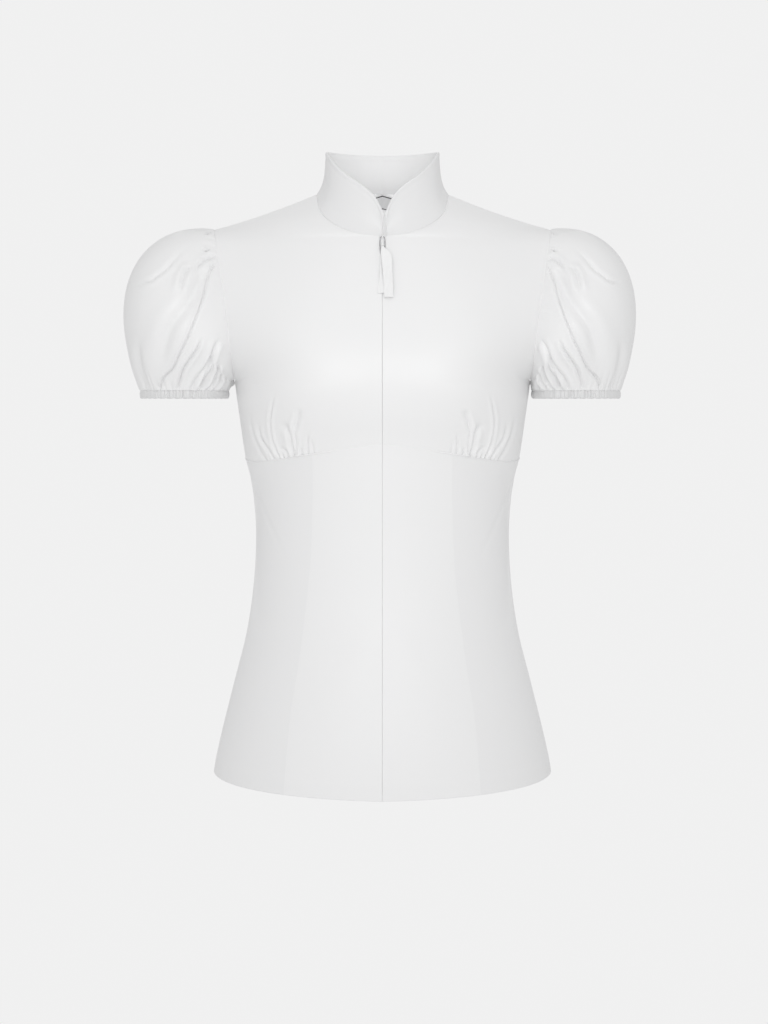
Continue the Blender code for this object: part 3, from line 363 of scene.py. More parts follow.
def creaseLift(x, z, creases):
    # How far some creases, drawn as lines seen from the front, move the cloth in or out.
    lift = np.zeros_like(x)
    for crease in creases:
        line = throughPoints(crease["line"])
        reach = crease["wide"] * creaseLook["reach"]
        near = (x > line[:, 0].min() - reach) & (x < line[:, 0].max() + reach)
        near &= (z > line[:, 1].min() - reach) & (z < line[:, 1].max() + reach)
        here = np.stack([x[near], z[near]], -1)
        steps = np.diff(line, axis=0)
        lengths = np.linalg.norm(steps, axis=1)
        ends = np.concatenate([[0], np.cumsum(lengths)])
        best = np.full(len(here), np.inf)
        signed, share = np.zeros(len(here)), np.zeros(len(here))
        for k, step in enumerate(steps):
            t = np.clip((here - line[k]) @ step / lengths[k] ** 2, 0, 1)
            offset = here - line[k] - t[:, None] * step
            away = np.hypot(offset[:, 0], offset[:, 1])
            nearer = away < best
            best[nearer] = away[nearer]
            cross = step[0] * (here[:, 1] - line[k, 1]) - step[1] * (here[:, 0] - line[k, 0])
            signed[nearer] = (away * np.where(cross < 0, 1.0, -1.0))[nearer]
            share[nearer] = ((ends[k] + t * lengths[k]) / ends[-1])[nearer]
        fadeIn, fadeOut = crease.get("fades", creaseLook["fades"])
        strength = np.ones(len(here))
        if fadeIn:
            strength = strength * smoothStep(0, fadeIn, share)
        if fadeOut:
            strength = strength * smoothStep(0, fadeOut, 1 - share)
        wide = crease["wide"] * (1 + crease.get("opens", creaseLook["opens"]) * share)
        crisp = crease["wide"] < creaseLook["crispUnder"]
        power = creaseLook["crispPower"] if crisp else creaseLook["softPower"]
        valley = -crease["deep"] * np.exp(-((best / wide) ** power))
        ridge = 0.0
        for way, height in zip((1, -1), crease.get("banks", creaseLook["banks"])):
            off = (signed * way - creaseLook["bankOut"] * wide) / (creaseLook["bankWide"] * wide)
            ridge = ridge + height * crease["deep"] * np.exp(-(off**2))
        lift[near] += strength * (valley + ridge)
    return lift


# Finishes. Each colour and roughness sits on the shader's own socket, and the weave is a fine bump
# drawn in the cloth's own metres.
satinLook = {
    "finishes": {  # colour, roughness and how far the gloss runs one way
        "whiteSatin": ((0.875, 0.875, 0.877), 0.38, 0.45),
        "shadedSideSatin": ((0.853, 0.853, 0.856), 0.38, 0.45),  # a darker copy of the satin: painted shade on the side panels
        # The collar's satin is a darker copy: painted shade on the collar.
        "shadedCollarSatin": ((0.825, 0.825, 0.828), 0.38, 0.45),
        "bandSatin": ((0.76, 0.76, 0.763), 0.38, 0.2),
        "ribbonSatin": ((0.88, 0.88, 0.882), 0.3, 0.5),
        # The inner sides are a lighter copy of the satin: painted light in the shaded inside of the
        # garment.
        "glowingSatinInside": ((0.90, 0.90, 0.902), 0.55, 0.1),
        "plainInside": ((0.90, 0.90, 0.902), 0.55, 0.1),
    },
    "paintedInsideGlow": 0.15,  # how strongly the inner side of the body's cloth glows: painted light, in place of the light that thin cloth lets through
    "sheen": 0.18,
    "sheenRoughness": 0.4,
    "specular": 0.45,
    "threads": (1300.0, 7500.0),  # floats of the weave to the metre, across and along
    "threadBump": 0.000025,
    "ripple": (70.0, 22.0),  # slow waves of the cloth to the metre, across and along
    "rippleBump": 0.00022,
}
trimLook = {
    "tapeColour": (0.80, 0.80, 0.80),
    "tapeRoughness": 0.72,
    "tapeRibs": 520.0,
    "tapeRibBump": 0.00008,
    "tapeGrain": (4000.0, 4000.0, 1.0),
    "tapeGrainBump": 0.00004,
    "labelColour": (0.80, 0.80, 0.805),
    "labelBorder": (0.05, 0.05, 0.055),
    "labelRoughness": 0.6,
    "labelGrain": (3500.0, 1200.0, 1.0),
    "labelGrainBump": 0.00005,
    "metalColour": (0.55, 0.55, 0.56),
    "metalRoughness": (0.14, 0.30),  # between polished and worn
    "metalGrain": (900.0, 900.0, 2600.0),
    "metalGrainBump": 0.00001,
    "lacquerColour": (0.86, 0.86, 0.862),
    "lacquerRoughness": 0.3,
}


def newMaterial(name, colour, roughness, metallic=0.0):
    made = bpy.data.materials.new(name)
    made.use_nodes = True
    tree = made.node_tree
    shader = tree.nodes["Principled BSDF"]
    shader.inputs["Base Color"].default_value = (*colour, 1.0)
    shader.inputs["Roughness"].default_value = roughness
    shader.inputs["Metallic"].default_value = metallic
    return made, tree, shader


def addNoiseBump(tree, shader, coordinates, scale, height, detail=2.0):
    # A bump of noise, stretched to scale to the metre, on top of any bump that is there.
    spread = tree.nodes.new("ShaderNodeMapping")
    spread.inputs["Scale"].default_value = scale
    tree.links.new(coordinates, spread.inputs["Vector"])
    noise = tree.nodes.new("ShaderNodeTexNoise")
    noise.inputs["Scale"].default_value = 1.0
    noise.inputs["Detail"].default_value = detail
    tree.links.new(spread.outputs["Vector"], noise.inputs["Vector"])
    bump = tree.nodes.new("ShaderNodeBump")
    bump.inputs["Strength"].default_value = 1.0
    bump.inputs["Distance"].default_value = height
    tree.links.new(noise.outputs["Fac"], bump.inputs["Height"])
    if shader.inputs["Normal"].links:
        tree.links.new(shader.inputs["Normal"].links[0].from_socket, bump.inputs["Normal"])
    tree.links.new(bump.outputs["Normal"], shader.inputs["Normal"])
    return noise


def satin(name, colour, roughness, anisotropic):
    # Satin: long smooth floats of thread, so its gloss runs one way and it ripples a little.
    made, tree, shader = newMaterial(name, colour, roughness)
    shader.inputs["Anisotropic"].default_value = anisotropic
    shader.inputs["Sheen Weight"].default_value = satinLook["sheen"]
    shader.inputs["Sheen Roughness"].default_value = satinLook["sheenRoughness"]
    shader.inputs["Specular IOR Level"].default_value = satinLook["specular"]
    coordinates = tree.nodes.new("ShaderNodeTexCoord").outputs["UV"]
    across, along = satinLook["ripple"]
    addNoiseBump(tree, shader, coordinates, (across, along, 1.0), satinLook["rippleBump"], 1.0)
    across, along = satinLook["threads"]
    addNoiseBump(tree, shader, coordinates, (along, across, 1.0), satinLook["threadBump"])
    return made


def wovenTape(name):
    # Close plain-woven tape, with ribs across it.
    made, tree, shader = newMaterial(name, trimLook["tapeColour"], trimLook["tapeRoughness"])
    coordinates = tree.nodes.new("ShaderNodeTexCoord").outputs["UV"]
    wave = tree.nodes.new("ShaderNodeTexWave")
    wave.inputs["Scale"].default_value = trimLook["tapeRibs"]
    wave.bands_direction = "Y"
    tree.links.new(coordinates, wave.inputs["Vector"])
    bump = tree.nodes.new("ShaderNodeBump")
    bump.inputs["Distance"].default_value = trimLook["tapeRibBump"]
    tree.links.new(wave.outputs["Fac"], bump.inputs["Height"])
    tree.links.new(bump.outputs["Normal"], shader.inputs["Normal"])
    addNoiseBump(tree, shader, coordinates, trimLook["tapeGrain"], trimLook["tapeGrainBump"])
    return made


def brightMetal(name):
    # Plated metal: smooth, with faint wear in its gloss.
    polished, worn = trimLook["metalRoughness"]
    made, tree, shader = newMaterial(name, trimLook["metalColour"], polished, 1.0)
    coordinates = tree.nodes.new("ShaderNodeTexCoord").outputs["Object"]
    grain = trimLook["metalGrain"]
    noise = addNoiseBump(tree, shader, coordinates, grain, trimLook["metalGrainBump"])
    gloss = tree.nodes.new("ShaderNodeMapRange")
    gloss.inputs["To Min"].default_value = polished
    gloss.inputs["To Max"].default_value = worn
    tree.links.new(noise.outputs["Fac"], gloss.inputs["Value"])
    tree.links.new(gloss.outputs["Result"], shader.inputs["Roughness"])
    return made


def labelWeave(name):
    # The field of a blank label, finely woven.
    made, tree, shader = newMaterial(name, trimLook["labelColour"], trimLook["labelRoughness"])
    coordinates = tree.nodes.new("ShaderNodeTexCoord").outputs["UV"]
    addNoiseBump(tree, shader, coordinates, trimLook["labelGrain"], trimLook["labelGrainBump"])
    return made


whiteSatin, shadedSideSatin, shadedCollarSatin, bandSatin, ribbonSatin, glowingSatinInside, plainInside = (
    satin(name, *finish) for name, finish in satinLook["finishes"].items()
)
# The inner side of the body's cloth glows a little: painted light, standing in for light through
# the thin cloth.
glowingInsideShader = glowingSatinInside.node_tree.nodes["Principled BSDF"]
glowingInsideShader.inputs["Emission Color"].default_value = (1.0, 1.0, 1.0, 1.0)
glowingInsideShader.inputs["Emission Strength"].default_value = satinLook["paintedInsideGlow"]
zipTapeCloth = wovenTape("zipTapeCloth")
platedMetal = brightMetal("platedMetal")
lacquer = newMaterial("whiteLacquer", trimLook["lacquerColour"], trimLook["lacquerRoughness"])[0]
wovenLabel = labelWeave("wovenLabel")
labelEdging = newMaterial("labelEdging", trimLook["labelBorder"], trimLook["labelRoughness"])[0]
print("finishes made")


# The bust panels, gathered over the seam below the bust. Each line of a crease starts on that seam
# and is drawn as it is seen from the front: the distance from the centre and the height.
bustLook = {
    "pitches": [  # how far out, and how far apart the columns stand there
        (0.0, 0.0026), (0.056, 0.0012), (0.066, 0.0009), (0.125, 0.0009), (0.14, 0.002),
        (0.2, 0.003),
    ],
    "pitchSection": 0.34,  # the section on which those distances are measured
    "gatheredUpTo": 0.402,
    "gatheredPitch": 0.0011,
    "chestRows": 56,
    "neckRows": 44,
    "lowered": 0.0003,  # how far its lower edge goes down behind the panels below
    "tuck": 0.0002,  # and how far in, the least share of it at the middle, and over what height
    "tuckLeast": 0.15,
    "tuckHigh": 0.0014,
    "seamShows": (0.035, 0.062),  # from the centre, where the seam below the bust starts to show
    "seamPullBelow": 0.4,
    "creasesFrom": (0.006, 0.02),  # the creases fade out towards the zip and the side seam
    "creases": [
        {"deep": 0.0014, "wide": 0.0014, "banks": (0.2, 0.5),
         "line": [(0.1123, -0.2633), (0.1184, -0.2547), (0.1236, -0.2441), (0.1276, -0.2333),
                  (0.1304, -0.2147)]},
        {"deep": 0.0019, "wide": 0.0011, "banks": (0.3, 0.5),
         "line": [(0.1040, -0.2630), (0.1101, -0.2525), (0.1151, -0.2458), (0.1191, -0.2380),
                  (0.1209, -0.2234)]},
        {"deep": 0.0024, "wide": 0.0010, "banks": (0.3, 0.6),
         "line": [(0.0980, -0.2619), (0.1029, -0.2523), (0.1068, -0.2398), (0.1082, -0.2232),
                  (0.1048, -0.2040), (0.1027, -0.1944)]},
        {"deep": 0.0019, "wide": 0.0011, "banks": (0.4, 0.4),
         "line": [(0.0899, -0.2607), (0.0918, -0.2540), (0.0948, -0.2512), (0.0998, -0.2493)]},
        {"deep": 0.0036, "wide": 0.0016, "banks": (0.4, 0.6), "opens": 0.5,
         "line": [(0.0840, -0.2587), (0.0868, -0.2481), (0.0886, -0.2375), (0.0913, -0.2308),
                  (0.0963, -0.2280)]},
        {"deep": 0.0026, "wide": 0.0014, "banks": (0.6, 0.2), "opens": 0.6,
         "line": [(0.0819, -0.2538), (0.0829, -0.2423), (0.0836, -0.2346), (0.0814, -0.2230),
                  (0.0783, -0.2163), (0.0738, -0.2190)]},
        {"deep": 0.0022, "wide": 0.0010, "banks": (0.5, 0.5),
         "line": [(0.0765, -0.2590), (0.0776, -0.2535), (0.0772, -0.2490)]},
        {"deep": 0.0014, "wide": 0.0011, "banks": (0.3, 0.6),
         "line": [(0.0712, -0.2572), (0.0716, -0.2440), (0.0700, -0.2330)]},
        {"deep": 0.0010, "wide": 0.0011, "banks": (0.3, 0.3),
         "line": [(0.0655, -0.2565), (0.0668, -0.2470), (0.0672, -0.2390)]},
        {"deep": 0.0014, "wide": 0.0008,
         "line": [(0.0940, -0.2615), (0.0965, -0.2560)]},
        {"deep": 0.0012, "wide": 0.0008,
         "line": [(0.1075, -0.2633), (0.1112, -0.2580)]},
        {"deep": 0.0012, "wide": 0.0007,
         "line": [(0.1010, -0.2626), (0.1040, -0.2575)]},
    ],
    "hollows": [  # x, z, width, height and depth
        (0.0798, -0.2192, 0.0030, 0.0050, 0.0012),
        (0.0945, -0.2290, 0.0030, 0.0030, 0.0008),
    ],
    "flat": (0.215, 0.285),
    "flatArea": 0.0510,
}


def acrossStations(points, distances):
    # The shares of a row at which it has run the given distances, as shares of its whole length.
    shares = np.linspace(0, 1, len(points))
    run = np.concatenate([[0], np.cumsum(np.linalg.norm(np.diff(points, axis=0), axis=1))])
    return np.interp(distances / distances[-1] * run[-1], run, shares)


def seamShares(sections, along, pitches):
    # Shares across a section, spaced by pitches and fine beside its two ends.
    dense = np.linspace(0, 1, 400)
    points = bodySurface(sections, dense, along)
    length = np.linalg.norm(np.diff(points, axis=0), axis=1).sum()
    ends = stations(length, 1.0)
    fine = ends[(ends < 0.0021) | (ends > length - 0.0021)]
    middle = denser(fine[fine < length / 2][-1], fine[fine > length / 2][0], pitches)[1:-1]
    distances = np.sort(np.concatenate([fine, middle]))
    return acrossStations(points, distances)


def shoulderNormals(normals, otherSections, shares):
    # Along the shoulder the front and the back share their normals, so that their walls meet.
    other = surfaceNormals(otherSections, shares, np.full_like(shares, seamLines["shoulder"]))
    normals[-1] = unit(normals[-1] + other)
    return normals


def neckTilt(normals, fromRow, least=0.25):
    # The cloth's edge at the neck looks up a little, under the collar.
    edge = normals[fromRow:, 0]
    edge[:, 2] = np.maximum(edge[:, 2], least)
    normals[fromRow:, 0] = unit(edge)
    return normals


def neckRows(line, count):
    # Rows from one end of the neckline up to the shoulder, without the first.
    start, end = seamLines[line], seamLines["shoulder"]
    return start + np.linspace(0, 1, count)[1:] * (end - start)


def addBust(name, side, node):
    high = bustLook["gatheredUpTo"]
    low = stations(high - seamLines["underBust"], bustLook["gatheredPitch"], True, False)
    low = low + seamLines["underBust"] - bustLook["lowered"]
    chest = np.linspace(high, seamLines["frontNeck"], bustLook["chestRows"])[1:]
    neck = neckRows("frontNeck", bustLook["neckRows"])
    along = np.concatenate([low[low < high - 0.0005], chest, neck])
    shares = seamShares(frontSections, bustLook["pitchSection"], bustLook["pitches"])
    s, a = np.broadcast_arrays(shares[None, :], along[:, None])
    points = frontWithSlit(s, a)
    normals = surfaceNormals(frontSections, s, a)
    normals = shoulderNormals(normals, backSections, shares)
    normals = neckTilt(normals, int(np.searchsorted(along, seamLines["frontNeck"])))
    lift = creaseLift(points[..., 0], points[..., 2], bustLook["creases"])
    for x, z, wide, tall, deep in bustLook["hollows"]:
        off = ((points[..., 0] - x) / wide) ** 2 + ((points[..., 2] - z) / tall) ** 2
        lift -= deep * np.exp(-off)
    up, across = runLengths(points, 0), runLengths(points, 1)
    fromSeam = up - up[:1]
    fromSide = across[:, -1:] - across
    fromNeck = np.where(a >= seamLines["frontNeck"], across, 1.0)
    fromZip = np.where(a < seamLines["frontNeck"], across, 1.0)
    fromTop = up[-1:] - up
    fromZipFade, fromSideFade = bustLook["creasesFrom"]
    lift = lift * smoothStep(0, fromZipFade, across) * smoothStep(0, fromSideFade, fromSide)
    for away in (fromSide, fromNeck, fromTop):
        lift = lift + seamPull(away)
    lift = lift + bustLook["seamPullBelow"] * seamPull(fromSeam)
    least = bustLook["tuckLeast"]
    seen = least + (1 - least) * smoothStep(*bustLook["seamShows"], points[:1, :, 0])
    tucked = 1 - smoothStep(0, bustLook["tuckHigh"], fromSeam)
    lift = lift - bustLook["tuck"] * seen * tucked
    edges = [sewn(fromSeam), sewn(fromSide), sewn(fromNeck), fromZip, sewn(fromTop)]
    fromEdge = np.minimum.reduce(edges)
    points[..., -1, 1] -= np.where(along <= seamLines["underArm"], halfGap, 0)
    points[-1, :, 1] -= halfGap
    piece = makePanel(name, points, normals, lift, fromEdge, side, [whiteSatin, glowingSatinInside])
    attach(piece, "garment")
    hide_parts(node)
    return piece


for word, side in sides.items():
    addBust("bust" + word, side, "front_bust_" + word.lower())
print("bust panels made")


# The panels below the bust: one beside the zip and one beyond the seam that runs to the hem.
lowerLook = {
    "princessSeam": [  # height, and distance from the centre
        (-0.585, 0.0945), (-0.508, 0.0880), (-0.452, 0.0795), (-0.395, 0.0725), (-0.358, 0.0690),
        (-0.300, 0.0670), (-0.240, 0.0670),
    ],
    "pitch": 0.0030,
    "rowPitch": 0.0032,
    "centreWidth": 0.085,  # a panel's usual width, for the spacing of its columns
    "sideWidth": 0.115,
    "dart": [
        {"deep": 0.0007, "wide": 0.0013, "banks": (0.3, 0.3),
         "line": [(0.1300, -0.2800), (0.1228, -0.2977), (0.1121, -0.3214), (0.0955, -0.3552),
                  (0.0893, -0.3730)]},
    ],
    "hemDeep": 0.020,  # how far up the hem is turned inside
    "hemExtra": 0.0007,  # how much thicker it is there
    "hemMark": 0.00012,  # the dip along its stitching, and its width
    "hemMarkWide": 0.0015,
    "hemRoll": 0.0007,  # how far the lower edge rolls in, and over what height
    "hemRollHigh": 0.016,
    "topRidge": 0.0006,  # the ridge beside the seam below the bust, how far down and how wide
    "topRidgeDown": 0.0006,
    "topRidgeWide": 0.0007,
    "centreFlat": (0.115, 0.365),
    "centreFlatArea": 0.0268,
    "sideFlat": (0.150, 0.360),
    "sideFlatArea": 0.0385,
}


def princessShares(along):
    # Where the seam between the centre and the side panel crosses each section.
    dense = np.linspace(0, 1, 300)
    seam = np.array(lowerLook["princessSeam"])
    found = []
    for row in bodySurface(frontSections, dense[None, :], along[:, None]):
        height = np.interp(seam[-1, 1], row[:, 0], row[:, 2])
        x = readRows(seam, np.clip(height, seam[0, 0], seam[-1, 0]))[1]
        found.append(np.interp(x, row[:, 0], dense))
    return np.array(found)


def hemThickness(fromHem, soft=0.0005):
    # The hem is turned up inside, so the cloth is thicker there.
    turned = 1 - smoothStep(lowerLook["hemDeep"] - soft, lowerLook["hemDeep"] + soft, fromHem)
    return cloth["thick"] + lowerLook["hemExtra"] * turned


def hemLift(fromHem):
    # The stitching of the turned hem shows outside as a faint dip.
    off = (fromHem - lowerLook["hemDeep"]) / lowerLook["hemMarkWide"]
    return -lowerLook["hemMark"] * np.exp(-(off**2))


def hemRoll(fromHem):
    # How far the lowest part of the hem rolls in.
    return lowerLook["hemRoll"] * (1 - smoothStep(0, lowerLook["hemRollHigh"], fromHem))


def addLower(name, side, node, centre):
    along = stations(seamLines["underBust"] - halfGap, lowerLook["rowPitch"])
    word = "centre" if centre else "side"
    seam = princessShares(along)[:, None]
    ends = [bodySurface(frontSections, share, along) for share in (0.39, 0.4)]
    width = np.linalg.norm(ends[1] - ends[0], axis=-1)
    gap = (halfGap * 0.004 / width)[:, None]  # as a share of the way across
    length = lowerLook[word + "Width"]
    shares = (stations(length, lowerLook["pitch"]) / length)[None, :]
    across = shares * (seam - gap) if centre else seam + gap + shares * (1 - seam - gap)
    a = np.broadcast_to(along[:, None], across.shape)
    points = frontWithSlit(across, a) if centre else bodySurface(frontSections, across, a)
    normals = surfaceNormals(frontSections, across, a)
    up, run = runLengths(points, 0), runLengths(points, 1)
    fromHem, fromTop, fromInner, fromOuter = up, up[-1:] - up, run, run[:, -1:] - run
    lift = hemLift(fromHem)
    if not centre:
        lift = lift + creaseLift(points[..., 0], points[..., 2], lowerLook["dart"])
        points[..., -1, 1] -= halfGap
    seen = smoothStep(*bustLook["seamShows"], points[-1:, :, 0])
    off = (fromTop - lowerLook["topRidgeDown"]) / lowerLook["topRidgeWide"]
    lift = lift + seen * lowerLook["topRidge"] * np.exp(-(off**2))
    if not centre:
        lift = lift + seamPull(fromOuter)
    lift = lift - hemRoll(fromHem)
    folded = fromInner if centre else sewn(fromOuter)
    fromEdge = np.minimum.reduce([fromHem, sewn(fromTop), folded])
    thick = hemThickness(fromHem)
    # The side panels take the darker satin, which is painted shade.
    finishes = [whiteSatin if centre else shadedSideSatin, glowingSatinInside]
    piece = makePanel(name, points, normals, lift, fromEdge, side, finishes, thick=thick)
    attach(piece, "garment")
    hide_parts(node)
    return piece


for word, side in sides.items():
    addLower("frontCentre" + word, side, "front_centre_" + word.lower(), True)
    addLower("frontSide" + word, side, "front_side_" + word.lower(), False)
print("lower fronts made")


# The back, one piece from side seam to side seam, shaped by two darts at the waist.
backLook = {
    "pitch": 0.0034,
    "rowPitch": 0.0029,
    "neckRows": 38,
    "pitchSection": 0.30,  # the section on which the columns are spaced
    "darts": [
        {"deep": 0.0007, "wide": 0.0012, "fades": (0.25, 0.3), "banks": (0.3, 0.3), "opens": 0.0,
         "line": [(0.0640, -0.2650), (0.0625, -0.3150), (0.0615, -0.3600), (0.0630, -0.4200),
                  (0.0660, -0.4950)]},
    ],
    "creases": [
        {"deep": 0.0010, "wide": 0.0040,
         "line": [(0.1350, -0.2000), (0.1180, -0.2150), (0.0950, -0.2230)]},
        {"deep": 0.0008, "wide": 0.0040,
         "line": [(0.1250, -0.3250), (0.1050, -0.3310), (0.0850, -0.3300)]},
        {"deep": 0.0006, "wide": 0.0035,
         "line": [(0.1300, -0.3480), (0.1120, -0.3560), (0.0950, -0.3570)]},
        {"deep": 0.0009, "wide": 0.0040,
         "line": [(0.1520, -0.1100), (0.1380, -0.1250), (0.1200, -0.1330)]},
    ],
    "flat": (0.400, 0.620),
    "flatArea": 0.2170,
}


def addBack(name, node):
    low = stations(seamLines["backNeck"], backLook["rowPitch"], True, False)
    along = np.concatenate([low, neckRows("backNeck", backLook["neckRows"])])
    even = [(0.0, backLook["pitch"]), (0.3, backLook["pitch"])]
    shares = seamShares(backSections, backLook["pitchSection"], even)
    shares = np.concatenate([[0.0], shares[shares > 0.02]])  # no close columns at the middle
    s, a = np.broadcast_arrays(shares[None, :], along[:, None])
    points = bodySurface(backSections, s, a)
    normals = surfaceNormals(backSections, s, a)
    normals = shoulderNormals(normals, frontSections, shares)
    normals = neckTilt(normals, len(low) - 1)
    normals[: len(low), 0, 0] = 0.0
    normals[: len(low), 0] = unit(normals[: len(low), 0])
    lift = creaseLift(points[..., 0], points[..., 2], backLook["darts"] + backLook["creases"])
    up, run = runLengths(points, 0), runLengths(points, 1)
    fromHem, fromTop, fromSide = up, up[-1:] - up, run[:, -1:] - run
    fromNeck = np.where(a > seamLines["backNeck"] + 1e-6, run, 1.0)
    belowNeck = np.where(a > seamLines["backNeck"], 1.0, seamLines["backNeck"] - a)
    fromNeck = np.minimum(fromNeck, np.where(s < 0.5, np.hypot(belowNeck, run), 1.0))
    lift = lift + hemLift(fromHem) + seamPull(fromTop) + seamPull(fromSide) + seamPull(fromNeck)
    lift = lift - hemRoll(fromHem)
    fromEdge = np.minimum.reduce([fromHem, sewn(fromTop), sewn(fromSide), sewn(fromNeck)])
    points[..., -1, 1] += np.where(along <= seamLines["underArm"], halfGap, 0)
    points[-1, :, 1] += halfGap
    thick = hemThickness(fromHem)
    close = closedIn(fromEdge, thick)
    outer = (points + (lift - close)[..., None] * normals).reshape(-1, 3)
    inner = (points + (lift - thick + close)[..., None] * normals).reshape(-1, 3)
    # The other half shares the points of the middle, up to the neck.
    rows, columns = s.shape
    count = rows * columns
    shared = np.arange(len(low)) * columns
    other = np.arange(count) + count
    other[shared] = shared
    keep = np.concatenate([np.arange(count), np.setdiff1d(np.arange(count), shared) + count])
    renumber = np.zeros(2 * count, int)
    renumber[keep] = np.arange(len(keep))
    faces = gridFaces(rows, columns)
    uv = gridUv(points)
    allFaces = renumber[np.concatenate([faces, other[faces][:, ::-1]])]
    allUv = np.concatenate([uv, (uv * np.array([-1.0, 1.0]))[:, ::-1]])
    outer = np.concatenate([outer, outer * mirrorX])[keep]
    inner = np.concatenate([inner, inner * mirrorX])[keep]
    piece = makeShell(name, outer, inner, allFaces, allUv, [whiteSatin, glowingSatinInside])
    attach(piece, "garment")
    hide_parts(node)
    return piece


addBack("backPanel", "back")
print("back made")


